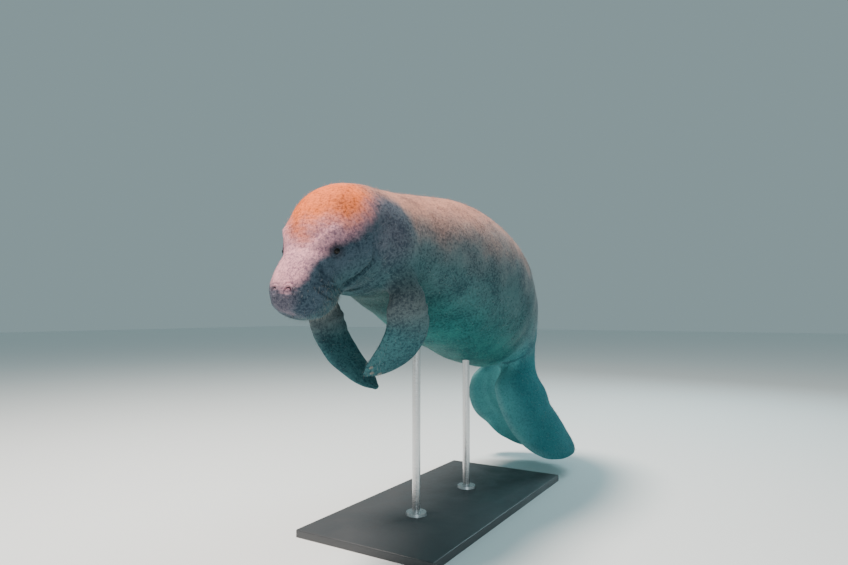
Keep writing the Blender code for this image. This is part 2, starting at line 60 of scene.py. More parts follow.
# %% Stations along the spine
LENGTH = 2.70
ANCHOR = np.array((-0.02, -0.02, 1.055))
ANCHOR_PLACE = 0.42
EDGE_THICKNESS = 0.0043
TIP_START = 0.895
TIP_REACH = 0.998
FIELDS = "place wide above below power fullness curl pitch turn roll far".split()
STATIONS = {
    "nose": (0.000, 0.019, 0.016, 0.016, 2.4, 0.42, 0, 69, 9, -2, 1),
    "disc": (0.008, 0.032, 0.022, 0.028, 2.6, 0.42, 0, 69, 9, -2, 1),
    "lips": (0.030, 0.040, 0.031, 0.035, 2.6, 0.42, 0, 69, 10, -5, 1),
    "bridge": (0.060, 0.041, 0.032, 0.047, 2.4, 0.45, 0, 49, 4, -3, 1),
    "eyes": (0.086, 0.053, 0.053, 0.052, 2.2, 0.48, 0, 39, 0, -4, 1),
    "crown": (0.120, 0.067, 0.073, 0.060, 2.1, 0.50, 0, 23, -3, -2, 1),
    "nape": (0.160, 0.082, 0.080, 0.067, 2.1, 0.50, 0, -6, -6, 0, 1),
    "shoulder": (0.220, 0.088, 0.089, 0.066, 2.1, 0.50, 0, -4, -6, 0, 1),
    "chest": (0.300, 0.108, 0.102, 0.090, 2.1, 0.50, 0, -3, -2, 0, 1),
    "belly": (0.420, 0.124, 0.122, 0.126, 2.1, 0.50, 0, -10, 1, 0, 1),
    "loin": (0.540, 0.120, 0.126, 0.130, 2.1, 0.50, 0, -19, -4, 0, 1),
    "rump": (0.640, 0.102, 0.093, 0.114, 2.1, 0.50, 0, -30, 9, -3, 1),
    "stock": (0.715, 0.071, 0.058, 0.090, 2.1, 0.50, 0, -48, 16, -22, 1),
    "waist": (0.755, 0.062, 0.042, 0.056, 2.0, 0.55, 56, -66, 22, -36, 1),
    "root": (0.800, 0.123, 0.030, 0.036, 1.7, 0.80, 103, -77, 25, -20, 1),
    "flare": (0.845, 0.146, 0.035, 0.025, 1.5, 1.00, 99, -58, 28, -11, 0.87),
    "paddle": (0.890, 0.152, 0.023, 0.016, 1.4, 1.00, 80, -44, 31, -8, 0.86),
    "fan": (0.945, 0.144, 0.016, 0.011, 1.4, 0.90, 66, -50, 31, -5, 1.14),
    "rim": (0.985, 0.136, 0.007, 0.007, 1.6, 0.70, 46, -51, 31, 3, 1.29),
    "end": (1.000, 0.136, 0.004, 0.004, 2.0, 0.50, 10, -51, 31, 3, 1.2),
}


# Monotone cubic curve through the stations, so a width never overshoots.
def smooth_curve(places, values):
    places = np.array(places, dtype=float)
    values = np.array(values, dtype=float)
    spans = np.diff(places)
    rises = np.diff(values) / spans
    slopes = np.zeros(len(places))
    for index in range(1, len(places) - 1):
        before = rises[index - 1]
        after = rises[index]
        if before * after > 0:
            first = 2 * spans[index] + spans[index - 1]
            second = spans[index] + 2 * spans[index - 1]
            slopes[index] = (first + second) / (first / before + second / after)
    slopes[0] = rises[0]
    slopes[-1] = rises[-1]

    def read(place):
        place = np.asarray(place, dtype=float)
        index = np.clip(np.searchsorted(places, place) - 1, 0, len(spans) - 1)
        span = spans[index]
        t = (place - places[index]) / span
        start = (1 + 2 * t) * (1 - t) ** 2 * values[index]
        leave = t * (1 - t) ** 2 * span * slopes[index]
        finish = t * t * (3 - 2 * t) * values[index + 1]
        arrive = t * t * (t - 1) * span * slopes[index + 1]
        return start + leave + finish + arrive

    return read


TABLE = np.array(list(STATIONS.values()), dtype=float)
MEASURES = {
    field: smooth_curve(TABLE[:, 0], TABLE[:, column])
    for column, field in enumerate(FIELDS)
    if column > 0
}
print("stations:", len(STATIONS))


# %% The spine
def spine_axes(place):
    pitch = np.radians(MEASURES["pitch"](place))
    turn = np.radians(MEASURES["turn"](place))
    roll = np.radians(MEASURES["roll"](place))[..., None]
    level = np.cos(pitch)
    tailward = np.stack((np.sin(turn) * level, np.cos(turn) * level, np.sin(pitch)), -1)
    side = np.stack((np.cos(turn), -np.sin(turn), np.zeros_like(turn)), -1)
    upward = np.cross(side, tailward)
    rolled_side = side * np.cos(roll) + upward * np.sin(roll)
    rolled_up = upward * np.cos(roll) - side * np.sin(roll)
    return rolled_side, rolled_up, tailward


SPINE_STEPS = 900
STEP_PLACES = (np.arange(SPINE_STEPS) + 0.5) / SPINE_STEPS
WALK = np.cumsum(spine_axes(STEP_PLACES)[2], axis=0) * (LENGTH / SPINE_STEPS)
SPINE = np.vstack((np.zeros(3), WALK))
SPINE += ANCHOR - SPINE[round(ANCHOR_PLACE * SPINE_STEPS)]
SPINE_PLACES = np.linspace(0, 1, SPINE_STEPS + 1)


def spine_point(place):
    return np.stack([np.interp(place, SPINE_PLACES, SPINE[:, axis]) for axis in range(3)], -1)


print("tail end of the spine at", SPINE[-1].round(3))

# %% Any point of the body's surface
# Soft swellings and folds: place, angle, reach along, reach round, height,
# and whether the other side has it too.
SWELLINGS = {
    "lip pad": (0.024, -28, 0.016, 34, 0.010, True),
    "nose pad": (0.010, 90, 0.012, 34, 0.006, False),
    "chin": (0.040, 270, 0.020, 30, 0.004, False),
    "lip fold": (0.049, 2, 0.004, 26, -0.004, True),
    "brow": (0.084, 46, 0.012, 16, 0.005, True),
    "cheek": (0.080, -30, 0.013, 24, 0.006, True),
    "throat fold": (0.150, 270, 0.010, 50, -0.005, False),
    "shoulder": (0.212, -20, 0.022, 20, 0.008, True),
    "tail crease": (0.752, 300, 0.010, 80, -0.006, False),
}


# Degrees from one bearing to another, the short way round.
def turn_from(bearing, angle):
    return (angle - bearing + 180) % 360 - 180


def relief(place, angle):
    total = np.zeros_like(place)
    for middle, bearing, long, wide, height, paired in SWELLINGS.values():
        for centre in (bearing, 180 - bearing) if paired else (bearing,):
            along = (place - middle) / long
            about = turn_from(centre, angle) / wide
            total += height * np.exp(-along * along - about * about)
    return total


def skin_point(place, angle):
    place = np.asarray(place, dtype=float)
    turn = np.radians(np.asarray(angle, dtype=float))
    past = TIP_REACH * np.clip(place - TIP_START, 0, None) / (1 - TIP_START)
    wide = MEASURES["wide"](place) * np.sqrt(1 - past * past) * LENGTH
    over = np.sin(turn)
    across = np.cos(turn)
    above = MEASURES["above"](place) * LENGTH
    below = MEASURES["below"](place) * LENGTH
    height = np.where(over > 0, above, below)
    edge = np.minimum(EDGE_THICKNESS, height / 2)
    power = MEASURES["power"](place)
    body = np.clip(1 - np.abs(across) ** power, 0, 1) ** MEASURES["fullness"](place)
    rim = np.sqrt(np.clip(1 - np.abs(across) ** 6, 0, 1))
    lift = np.sign(over) * ((height - edge) * body + edge * rim)
    bump = relief(place, np.degrees(turn))
    out = wide * across + bump * across
    lift = lift + bump * over
    curl = np.radians(MEASURES["curl"](place))
    curl = np.where(across < 0, curl * MEASURES["far"](place), curl)
    curl = np.maximum(curl, 1e-3)
    radius = wide / curl
    bend = out / radius
    sideways = (radius + lift) * np.sin(bend)
    upward = (radius + lift) * np.cos(bend) - radius
    side, up, _ = spine_axes(place)
    return spine_point(place) + side * sideways[..., None] + up * upward[..., None]


NOSE = skin_point(np.array([0.0]), np.array([90.0]))[0]
print("nose at", NOSE.round(3))


# %% [markdown]
# ## A frame on the skin
# Eyes, nostrils and hairs sit on the surface and follow its slope. A small
# frame of three directions, toward the nose, across and outward, lets each
# be described flat and then laid on the body.

# %% Frames on the skin
def unit(vectors):
    return vectors / np.linalg.norm(vectors, axis=-1, keepdims=True)


def dot(first, second):
    return np.sum(first * second, axis=-1)


# What is left of each vector when its run along a direction is taken away.
def square_to(vectors, direction):
    return vectors - direction * dot(vectors, direction)[..., None]


def skin_frame(place, angle):
    place = np.array([place, place - 0.003, place + 0.003, place, place])
    angle = np.array([angle, angle, angle, angle - 2.0, angle + 2.0])
    point, front, back, before, after = skin_point(place, angle)
    forward = unit(front - back)
    normal = unit(np.cross(after - before, forward))
    if normal @ (point - spine_point(place[0])) < 0:
        normal = -normal
    across = np.cross(normal, forward)
    return point, forward, across, normal


EYE_PLACE = 0.073
EYE_ANGLE = 24
EYE_RADIUS = 0.0135
EYE_SINK = 0.0095
NOSTRIL_PLACE = 0.0200
NOSTRIL_ANGLE = 18
NOSTRIL_RADIUS = 0.0130
EYE_FRAMES = {
    "left": skin_frame(EYE_PLACE, EYE_ANGLE),
    "right": skin_frame(EYE_PLACE, 180 - EYE_ANGLE),
}
NOSTRIL_FRAMES = {
    "left": skin_frame(NOSTRIL_PLACE, 90 - NOSTRIL_ANGLE),
    "right": skin_frame(NOSTRIL_PLACE, 90 + NOSTRIL_ANGLE),
}
EYE_POINTS = [eye[0] for eye in EYE_FRAMES.values()]
NOSTRIL_POINTS = [nostril[0] for nostril in NOSTRIL_FRAMES.values()]
print("left eye at", EYE_POINTS[0].round(3))

# %% [markdown]
# ## The skin's first sheet
# The hide of a manatee has no seams. A flat grid is wrapped round the body:
# its columns run round the trunk and its rows along the spine, packed close
# on the face where the folds are small. Each corner remembers its place and
# angle, so that the face can be divided further and still lie on the curve.

# %% Wrap a grid round the body
COLUMNS = 204
ROW_SHARES = (0.0, 0.14, 0.40, 0.53, 0.85, 1.0)
ROW_PLACES = (0.0, 0.028, 0.115, 0.190, 0.760, 1.0)
ROWS = 330
SEAM = -90.0
MERGE_REACH = 1e-5
FAR_OFF = 1e3
EYE_PATCH = 0.050
FINE_PATCH = 0.027
row_place = smooth_curve(ROW_SHARES, ROW_PLACES)


# Metres from each point to the nearest of some targets.
def distance_to(points, targets):
    closest = np.full(len(points), FAR_OFF)
    for target in targets:
        closest = np.minimum(closest, np.linalg.norm(points - target, axis=1))
    return closest


def lay_on_body(bm, layers):
    place, angle = (np.array([vert[layer] for vert in bm.verts]) for layer in layers)
    points = skin_point(place, angle)
    for vert, point in zip(bm.verts, points):
        vert.co = point
    return points


def subdivide_near(bm, layers, centres, reach):
    chosen = distance_to(lay_on_body(bm, layers), centres) < reach
    for vert, inside in zip(bm.verts, chosen):
        vert.tag = bool(inside)
    edges = [edge for edge in bm.edges if edge.verts[0].tag and edge.verts[1].tag]
    bmesh.ops.subdivide_edges(bm, edges=edges, cuts=1, use_grid_fill=True)
    bm.verts.index_update()


# Joins the two sides of a rolled-up grid and fills its open ends.
def close_tube(bm):
    bmesh.ops.remove_doubles(bm, verts=bm.verts, dist=MERGE_REACH)
    open_edges = [edge for edge in bm.edges if edge.is_boundary]
    bmesh.ops.holes_fill(bm, edges=open_edges, sides=0)


def take_mesh(bm, name):
    mesh = bpy.data.meshes.new(name)
    bm.to_mesh(mesh)
    bm.free()
    return mesh


def put_in_scene(name, data):
    item = bpy.data.objects.new(name, data)
    bpy.context.scene.collection.objects.link(item)
    return item


def make_body_sheet():
    bm = bmesh.new()
    bmesh.ops.create_grid(bm, x_segments=COLUMNS, y_segments=ROWS, size=0.5)
    place_layer = bm.verts.layers.float.new("along")
    angle_layer = bm.verts.layers.float.new("round")
    for vert in bm.verts:
        vert[place_layer] = float(row_place(vert.co.y + 0.5))
        vert[angle_layer] = (vert.co.x + 0.5) * 360.0 + SEAM
    layers = (place_layer, angle_layer)
    subdivide_near(bm, layers, EYE_POINTS, EYE_PATCH)
    subdivide_near(bm, layers, EYE_POINTS + NOSTRIL_POINTS, FINE_PATCH)
    lay_on_body(bm, layers)
    close_tube(bm)
    # Only the two end caps have many corners.
    caps = [face for face in bm.faces if len(face.verts) > 8]
    bmesh.ops.poke(bm, faces=caps)
    bmesh.ops.recalc_face_normals(bm, faces=bm.faces)
    return take_mesh(bm, "manatee_skin")


body_mesh = make_body_sheet()
skin = put_in_scene("manatee_skin", body_mesh)
print("body faces:", len(body_mesh.polygons))

# %% [markdown]
# ## Lids, nostrils, lips and folds
# The face is what people look at, so its small forms are real geometry.
# Each is a height over the plain surface, worked out from the distance to
# the feature, and every corner moves along its own normal by the sum.

# %% Heights of the face's features
def smooth_step(low, high, value):
    t = np.clip((value - low) / (high - low), 0, 1)
    return t * t * (3 - 2 * t)


def bell(value, middle, reach):
    return np.exp(-(((value - middle) / reach) ** 2))


def flat_place(points, spot):
    point, forward, across, normal = spot
    offset = points - point
    return offset @ forward, offset @ across, offset @ normal


# Half length and half height of the opening between the lids.
LID_LENGTH = 0.0102
LID_HEIGHT = 0.0070


# Two thick lids round an almond opening, with ring folds and fine rays.
def lid_height(points, spot):
    ahead, side, out = flat_place(points, spot)
    ring = np.sqrt((ahead / LID_LENGTH) ** 2 + (side / LID_HEIGHT) ** 2)
    bearing = np.arctan2(side, ahead)
    height = -0.0100 * (1 - smooth_step(0.72, 1.06, ring))
    height += 0.0024 * bell(ring, 1.42, 0.42)
    height -= 0.0008 * bell(ring, 2.30, 0.30)
    height += 0.0005 * bell(ring, 2.95, 0.40)
    height -= 0.0004 * bell(ring, 3.80, 0.40)
    height += 0.0004 * np.cos(bearing * 13 + ring) * bell(ring, 2.8, 1.0)
    return np.where(np.abs(out) < 0.05, height, 0)


# A raised rim, and a crescent slit over the valve that closes it.
def nostril_height(points, spot):
    ahead, side, out = flat_place(points, spot)
    ring = np.hypot(ahead, side)
    valve = np.hypot(ahead - NOSTRIL_RADIUS * 0.42, side)
    inside = 1 - smooth_step(NOSTRIL_RADIUS * 0.86, NOSTRIL_RADIUS * 1.06, ring)
    clear = smooth_step(NOSTRIL_RADIUS * 0.86, NOSTRIL_RADIUS * 1.04, valve)
    height = -0.0120 * inside * clear
    height += 0.0028 * bell(ring, NOSTRIL_RADIUS * 1.24, 0.0035) * (1 - 0.3 * inside)
    height -= 0.0015 * bell(ring, NOSTRIL_RADIUS * 1.75, 0.0030)
    return np.where(np.abs(out) < 0.04, height, 0)


# The mouth is a U seen from below: lip pads outside, the chin inside.
MOUTH_HALF_TURN = 44
MOUTH_SPREAD = 12
MOUTH_START = 0.060
MOUTH_RUN = 0.043


def mouth_height(place, angle):
    below = np.abs(turn_from(270, angle))
    half = MOUTH_HALF_TURN + MOUTH_SPREAD * smooth_step(0.05, 0.105, place)
    front = np.clip((MOUTH_START - place) / MOUTH_RUN, 0, 2)
    shape = (below / half) ** 3 + front ** 3
    reach = 0.75 * MEASURES["wide"](place) * LENGTH
    slope_round = 3 * (below / half) ** 2 / half * np.degrees(1) / reach
    slope_along = 3 * front ** 2 / MOUTH_RUN / LENGTH
    gap = (shape - 1) / np.maximum(np.hypot(slope_round, slope_along), 1e-6)
    fade = 1 - smooth_step(0.068, 0.088, place)
    groove = -0.0075 * bell(gap, 0, 0.0034)
    lip = 0.0030 * bell(gap, 0.0110, 0.0070)
    chin = -0.0040 * smooth_step(0.0, 0.010, -gap) * (1 - smooth_step(0.06, 0.10, place))
    return (groove + lip + chin) * fade


print("mouth runs over places", round(MOUTH_START - MOUTH_RUN, 3), "to", MOUTH_START)


# %% Creases
# A crease follows a path of places and angles on the animal's left side and
# is repeated on its right. A path that starts on the middle line runs
# straight on to the other side; every other end fades out.
# name: half width, depth, starts on the middle line, path
CREASES = {
    "cheek": (0.0040, -0.0120, False, (
        (0.112, 6), (0.109, -7), (0.104, -16), (0.091, -21), (0.077, -24), (0.064, -26), (0.052, -22),
    )),
    "lip": (0.0042, -0.0036, False, ((0.034, 36), (0.030, 18), (0.027, 3), (0.026, -8), (0.027, -20))),
    "muzzle": (0.0065, -0.0050, False, (
        (0.053, 38), (0.048, 24), (0.043, 10), (0.037, -4), (0.034, -16),
    )),
    "muzzle back": (0.0034, -0.0026, False, ((0.034, 22), (0.036, 8), (0.043, -8), (0.051, -22))),
    "mouth corner": (0.0038, -0.0030, False, ((0.042, -14), (0.050, -30), (0.060, -42))),
    "temple": (0.0050, -0.0022, False, ((0.092, 30), (0.094, 16), (0.092, 2))),
    "neck": (0.0060, -0.0014, False, ((0.134, 10), (0.131, -10), (0.130, -30), (0.132, -55))),
    "throat": (0.0050, -0.0035, True, ((0.128, -90), (0.127, -74), (0.125, -58))),
    "chest": (0.0050, -0.0035, True, ((0.170, -90), (0.172, -66), (0.178, -44), (0.182, -26))),
    "brow ridge": (0.0110, 0.0040, False, (
        (0.058, 76), (0.064, 66), (0.071, 57), (0.079, 49), (0.088, 42), (0.104, 36),
    )),
    "bridge": (0.0030, -0.0008, True, ((0.064, 90), (0.063, 68), (0.059, 48))),
    "tail": (0.0075, -0.0090, True, (
        (0.752, -90), (0.753, -62), (0.750, -34), (0.744, -8), (0.736, 14),
    )),
    "tail back": (0.0060, -0.0050, True, ((0.768, -90), (0.768, -64), (0.764, -40), (0.757, -18))),
}


# Distance to a path in metres, and the share of the path passed by then.
def path_gap(place, angle, path):
    reach = 0.85 * MEASURES["wide"](place) * LENGTH
    gap = np.full(len(place), FAR_OFF)
    share = np.zeros(len(place))
    count = len(path) - 1
    for index, (start, stop) in enumerate(zip(path, path[1:])):
        turn = turn_from(start[1], angle)
        x = (place - start[0]) * LENGTH
        y = np.radians(turn) * reach
        run_x = (stop[0] - start[0]) * LENGTH
        run_y = np.radians(stop[1] - start[1]) * reach
        t = np.clip((x * run_x + y * run_y) / (run_x ** 2 + run_y ** 2), 0, 1)
        here = np.hypot(x - run_x * t, y - run_y * t)
        closer = here < gap
        gap[closer] = here[closer]
        share[closer] = (index + t[closer]) / count
    return gap, share


def crease_height(place, angle):
    total = np.zeros_like(place)
    for wide, depth, from_middle, path in CREASES.values():
        for side_angle in (angle, 180 - angle):
            gap, share = path_gap(place, side_angle, path)
            fade = 1 - smooth_step(0.72, 1.0, share)
            if not from_middle:
                fade = fade * smooth_step(0.0, 0.28, share)
            swell = 0.34 * bell(gap, wide * 2.5, wide * 1.5)
            total += depth * fade * (bell(gap, 0, wide) - swell)
    return total


# Lengthwise folds on the tail's curled underside.
def paddle_height(place, angle):
    under = smooth_step(0.0, 0.3, -np.sin(np.radians(angle)))
    far = smooth_step(0.775, 0.82, place) * (1 - smooth_step(0.90, 0.97, place))
    across = np.cos(np.radians(angle))
    wave = np.sin(across * 23 + 6 * place) * 0.5 + np.sin(across * 41 - 9 * place) * 0.35
    return 0.0034 * wave * under * far * (1 - np.abs(across) ** 4)


print("creases:", len(CREASES))


# %% Move the skin by its features
def read_field(items, field, width=3, kind=np.float32):
    flat = np.empty(len(items) * width, dtype=kind)
    items.foreach_get(field, flat)
    return flat.reshape(-1, width)


def read_points(mesh):
    return read_field(mesh.vertices, "co").astype(float)


def read_normals(mesh):
    return read_field(mesh.vertex_normals, "vector").astype(float)


def read_values(mesh, name):
    return read_field(mesh.attributes[name].data, "value", 1).astype(float)[:, 0]


def write_points(mesh, points):
    mesh.vertices.foreach_set("co", points.astype(np.float32).ravel())
    mesh.update()


def lumps(points, size, seed):
    shift = Vector((seed, seed * 2.3, seed * 0.7))
    return np.array([noise.noise(Vector(point) / size + shift) for point in points])


points = read_points(body_mesh)
normals = read_normals(body_mesh)
along = read_values(body_mesh, "along")
around = read_values(body_mesh, "round")
height = mouth_height(along, around) + crease_height(along, around)
height += paddle_height(along, around)
for spot in EYE_FRAMES.values():
    height += lid_height(points, spot)
for spot in NOSTRIL_FRAMES.values():
    height += nostril_height(points, spot)
thin = 1 - smooth_step(0.76, 0.86, along)
height += 0.0016 * lumps(points, 0.085, 3.1) * (0.3 + 0.7 * thin)
height += 0.0008 * lumps(points, 0.030, 7.7) * thin
write_points(body_mesh, points + normals * height[:, None])
print("feature heights:", height.min().round(4), "to", height.max().round(4))

# %% [markdown]
# ## The flippers
# Each flipper is an arm with a broad hand, flat as an oar. A grid is again
# wrapped into a tube, this time round the bones, and its free end is drawn
# to a round tip. The root runs well into the chest.

# %% Shape the flippers
# From root to tip: a point measured from the anchor, half the width, half the
# thickness, and the bearing of the hind edge in degrees.
LEFT_FLIPPER = (
    (0.120, -0.610, 0.010, 0.060, 0.050, 62),
    (0.190, -0.640, -0.050, 0.066, 0.050, 60),
    (0.224, -0.638, -0.141, 0.072, 0.046, 58),
    (0.211, -0.606, -0.235, 0.082, 0.034, 56),
    (0.172, -0.600, -0.305, 0.078, 0.022, 54),
    (0.112, -0.609, -0.364, 0.062, 0.014, 52),
    (0.062, -0.620, -0.398, 0.036, 0.009, 50),
    (0.042, -0.625, -0.410, 0.014, 0.005, 50),
)
RIGHT_FLIPPER = (
    (-0.110, -0.590, 0.000, 0.060, 0.050, 78),
    (-0.180, -0.585, -0.080, 0.066, 0.050, 76),
    (-0.222, -0.562, -0.157, 0.072, 0.046, 74),
    (-0.214, -0.523, -0.254, 0.080, 0.034, 72),
    (-0.170, -0.502, -0.342, 0.080, 0.022, 70),
    (-0.110, -0.481, -0.409, 0.066, 0.014, 68),
    (-0.060, -0.462, -0.458, 0.040, 0.009, 66),
    (-0.036, -0.454, -0.478, 0.016, 0.005, 66),
)

# The rounded tip: its share of the grid and its length in metres.
TIP_SHARE = 0.03
TIP_LENGTH = 0.010


class Flipper:
    def __init__(self, joints):
        joints = np.array(joints)
        points = joints[:, :3] + ANCHOR
        runs = np.concatenate(([0], np.cumsum(np.linalg.norm(np.diff(points, axis=0), axis=1))))
        self.length = runs[-1]
        shares = runs / runs[-1]
        self.curves = [smooth_curve(shares, points[:, axis]) for axis in range(3)]
        self.chord = smooth_curve(shares, joints[:, 3])
        self.thick = smooth_curve(shares, joints[:, 4])
        self.swing = smooth_curve(shares, joints[:, 5])

    def centre(self, share):
        return np.stack([curve(share) for curve in self.curves], -1)

    def frame(self, share):
        share = np.asarray(share, dtype=float)
        front = self.centre(np.minimum(1, share + 0.02))
        ahead = unit(front - self.centre(np.maximum(0, share - 0.02)))
        angle = np.radians(self.swing(share))
        hind = np.stack((np.cos(angle), np.sin(angle), np.zeros_like(angle)), -1)
        hind = unit(square_to(hind, ahead))
        return self.centre(share), hind, np.cross(ahead, hind), ahead

    def surface(self, run, turn):
        share = np.clip(run, 0, 1)
        past = np.clip(run - 1, 0, None) / TIP_SHARE
        middle, hind, face, ahead = self.frame(share)
        shrink = np.sqrt(np.clip(1 - past ** 2, 0, 1))
        crease = -0.0045 * bell(share, 0.47, 0.018) - 0.0035 * bell(share, 0.40, 0.014)
        crease += 0.0030 * bell(share, 0.435, 0.016) - 0.0022 * bell(share, 0.55, 0.014)
        crease *= 0.6 + 0.4 * np.cos(turn)
        fingers = 0.0016 * np.cos(4.2 * np.pi * np.cos(turn)) * smooth_step(0.6, 0.85, share)
        chord = self.chord(share) * shrink + crease
        lift = (self.thick(share) + fingers * np.abs(np.sin(turn))) * shrink + crease
        middle = middle + ahead * (past * TIP_LENGTH)[..., None]
        across = hind * (np.cos(turn) * chord)[..., None]
        return middle + across + face * (np.sin(turn) * lift)[..., None]


FLIPPERS = {"left": Flipper(LEFT_FLIPPER), "right": Flipper(RIGHT_FLIPPER)}
FLIPPER_COLUMNS = 40
FLIPPER_ROWS = 72
ROW_CROWDING = 1.15


def make_flipper(side):
    bm = bmesh.new()
    bmesh.ops.create_grid(bm, x_segments=FLIPPER_COLUMNS, y_segments=FLIPPER_ROWS, size=0.5)
    run = np.array([vert.co.y + 0.5 for vert in bm.verts])
    turn = np.array([(vert.co.x + 0.5) * math.tau for vert in bm.verts])
    run = (1 + TIP_SHARE) * (1 - (1 - run) ** ROW_CROWDING)
    for vert, point in zip(bm.verts, FLIPPERS[side].surface(run, turn)):
        vert.co = point
    close_tube(bm)
    bmesh.ops.recalc_face_normals(bm, faces=bm.faces)
    return put_in_scene("flipper_" + side, take_mesh(bm, "flipper_" + side))


flippers = {side: make_flipper(side) for side in FLIPPERS}
print("flipper length:", round(float(FLIPPERS["left"].length), 3))

# %% [markdown]
# ## One skin
# Where an arm leaves the chest the hide runs on without a step. The tubes
# are joined by a Boolean union, and then the corners round the joint are
# relaxed toward their neighbours, most at the joint and less further out,
# as clay is smoothed with a thumb.

# %% Join and smooth
RELAX_ROUNDS = 90
KEY_SCALE = 1e5


def join_to_skin(item):
    union = skin.modifiers.new("join", "BOOLEAN")
    union.operation = "UNION"
    union.object = item
    union.solver = "EXACT"
    graph = bpy.context.evaluated_depsgraph_get()
    mesh = bpy.data.meshes.new_from_object(skin.evaluated_get(graph))
    skin.modifiers.clear()
    skin.data = mesh
    bpy.data.objects.remove(item, do_unlink=True)


# Whole numbers that tell corners apart, and their set.
def corner_keys(mesh):
    return (read_points(mesh) * KEY_SCALE).round().astype(int)


def known_points(mesh):
    return {tuple(key) for key in corner_keys(mesh)}


# Gives a function that averages the values of each corner's neighbours.
def neighbour_mean(mesh):
    pairs = read_field(mesh.edges, "vertices", 2, np.int32)
    first, second = pairs.T
    count = np.bincount(pairs.ravel(), minlength=len(mesh.vertices))

    def mean(values):
        total = np.bincount(first, values[second], len(values))
        total += np.bincount(second, values[first], len(values))
        return total / count

    return mean


def relax(mesh, weight, rounds):
    mean = neighbour_mean(mesh)
    points = read_points(mesh)
    for _ in range(rounds):
        middles = np.stack([mean(points[:, axis]) for axis in range(3)], -1)
        points += (middles - points) * weight[:, None]
    write_points(mesh, points)


before = known_points(skin.data)
for item in flippers.values():
    before |= known_points(item.data)
for item in list(flippers.values()):
    join_to_skin(item)
fresh = np.array([tuple(key) not in before for key in corner_keys(skin.data)])
points = read_points(skin.data)
joint_points = points[fresh]
print("joint corners:", len(joint_points))

# Every third new corner is enough to measure the distance to the joint.
gap = distance_to(points, joint_points[::3])
relax(skin.data, 0.8 * (1 - smooth_step(0.010, 0.085, gap)), RELAX_ROUNDS)
skin.data.shade_smooth()
print("skin faces:", len(skin.data.polygons))

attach(skin, "root")
FLESH = (
    "muzzle head lower_jaw neck chest abdomen loin tail_stock fluke flipper_left_arm "
    "flipper_left_hand flipper_right_arm flipper_right_hand"
).split()
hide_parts(*FLESH)

# %% [markdown]
# ## Marks that the colours follow
# The colours change along the body, from back to belly and in the folds,
# much of it painted light and shade. Each corner of the skin stores where it
# lies, which way it faces, how far it lies on the side of the painted
# sunlight, and how near it is to an eye, a fold, a flipper or the tail's edge.
# The eyes get painted shade round them, the folds painted shade, and the
# tail's edge a painted highlight. They are plain values, so the same paint
# works on the skin and on the hairs on it.

# %% How a corner finds its marks
# The place along the spine that lies nearest to each point.
def nearest_place(points):
    best = np.full(len(points), FAR_OFF)
    found = np.zeros(len(points))
    for place, centre in zip(SPINE_PLACES[::4], SPINE[::4]):
        far = np.linalg.norm(points - centre, axis=1)
        closer = far < best
        best[closer] = far[closer]
        found[closer] = place
    return found


# How far down a flipper each point lies, from slices a little larger than
# the flipper; points elsewhere get zero.
CHORD_ROOM = 1.15
THICK_ROOM = 1.5
SLICE_REACH = 0.012


def limb_share(points):
    best = np.zeros(len(points))
    for flipper in FLIPPERS.values():
        for share in np.linspace(0.1, 1, 60):
            middle, hind, face, ahead = flipper.frame(np.array(share))
            offset = points - middle
            chord = float(flipper.chord(share)) * CHORD_ROOM
            thick = float(flipper.thick(share)) * THICK_ROOM
            ring = (offset @ hind / chord) ** 2 + (offset @ face / thick) ** 2
            close = (ring < 1) & (np.abs(offset @ ahead) < SLICE_REACH)
            best[close] = np.maximum(best[close], share)
    return best


def store(mesh, name, values):
    if name in mesh.attributes:
        mesh.attributes.remove(mesh.attributes[name])
    layer = mesh.attributes.new(name, "FLOAT", "POINT")
    layer.data.foreach_set("value", values.astype(np.float32))


# Each corner's value moves toward the mean of its neighbours' values.
def soften_values(mesh, values, rounds):
    mean = neighbour_mean(mesh)
    for _ in range(rounds):
        values = 0.5 * values + 0.5 * mean(values)
    return values


print("flipper slices reach", SLICE_REACH, "m either way")

# %% Store the marks
# Where the painted sunlight on the upper side meets the painted shade on the lower side: place and
# angle.
# The pale top is partly the hide's own tone, partly painted sunlight.
PAINTED_SUN_EDGE = (
    (0.000, 90), (0.020, 88), (0.028, 70), (0.034, 63), (0.051, 56), (0.070, 43), (0.088, 35),
    (0.108, 31), (0.124, 32), (0.134, 42), (0.144, 53), (0.158, 50), (0.172, 32), (0.190, 23),
    (0.253, 24), (0.316, 29), (0.378, 26), (0.450, 28), (0.540, 38), (0.640, 60), (0.740, 80),
    (1.000, 80),
)

# A crease this deep gets the darkest painted shade.
FOLD_DEPTH = 0.007
SOFTEN_ROUNDS = 30

points = read_points(skin.data)
normals = read_normals(skin.data)
limb = limb_share(points)
along = nearest_place(points)
limb = soften_values(skin.data, limb, SOFTEN_ROUNDS)
side, up, _ = spine_axes(along)
offset = points - spine_point(along)
rise = dot(offset, up) / (MEASURES["above"](along) * LENGTH)
reach = dot(offset, side) / (MEASURES["wide"](along) * LENGTH)
round_facing = rise / np.hypot(rise, reach)
flat_facing = dot(normals, up)
on_tail = smooth_step(0.73, 0.79, along)
facing = round_facing * (1 - on_tail) + flat_facing * on_tail
eye_gap = distance_to(points, EYE_POINTS)
edge_places, edge_angles = zip(*PAINTED_SUN_EDGE)
bearing = np.degrees(np.arccos(np.clip(reach, -1, 1))) * np.where(rise < 0, -1, 1)
# Painted shade in the creases, deeper creases darker, none on the flippers.
fold = np.clip(-crease_height(along, bearing) / FOLD_DEPTH, 0, 1)
fold *= 1 - smooth_step(0.02, 0.10, limb)
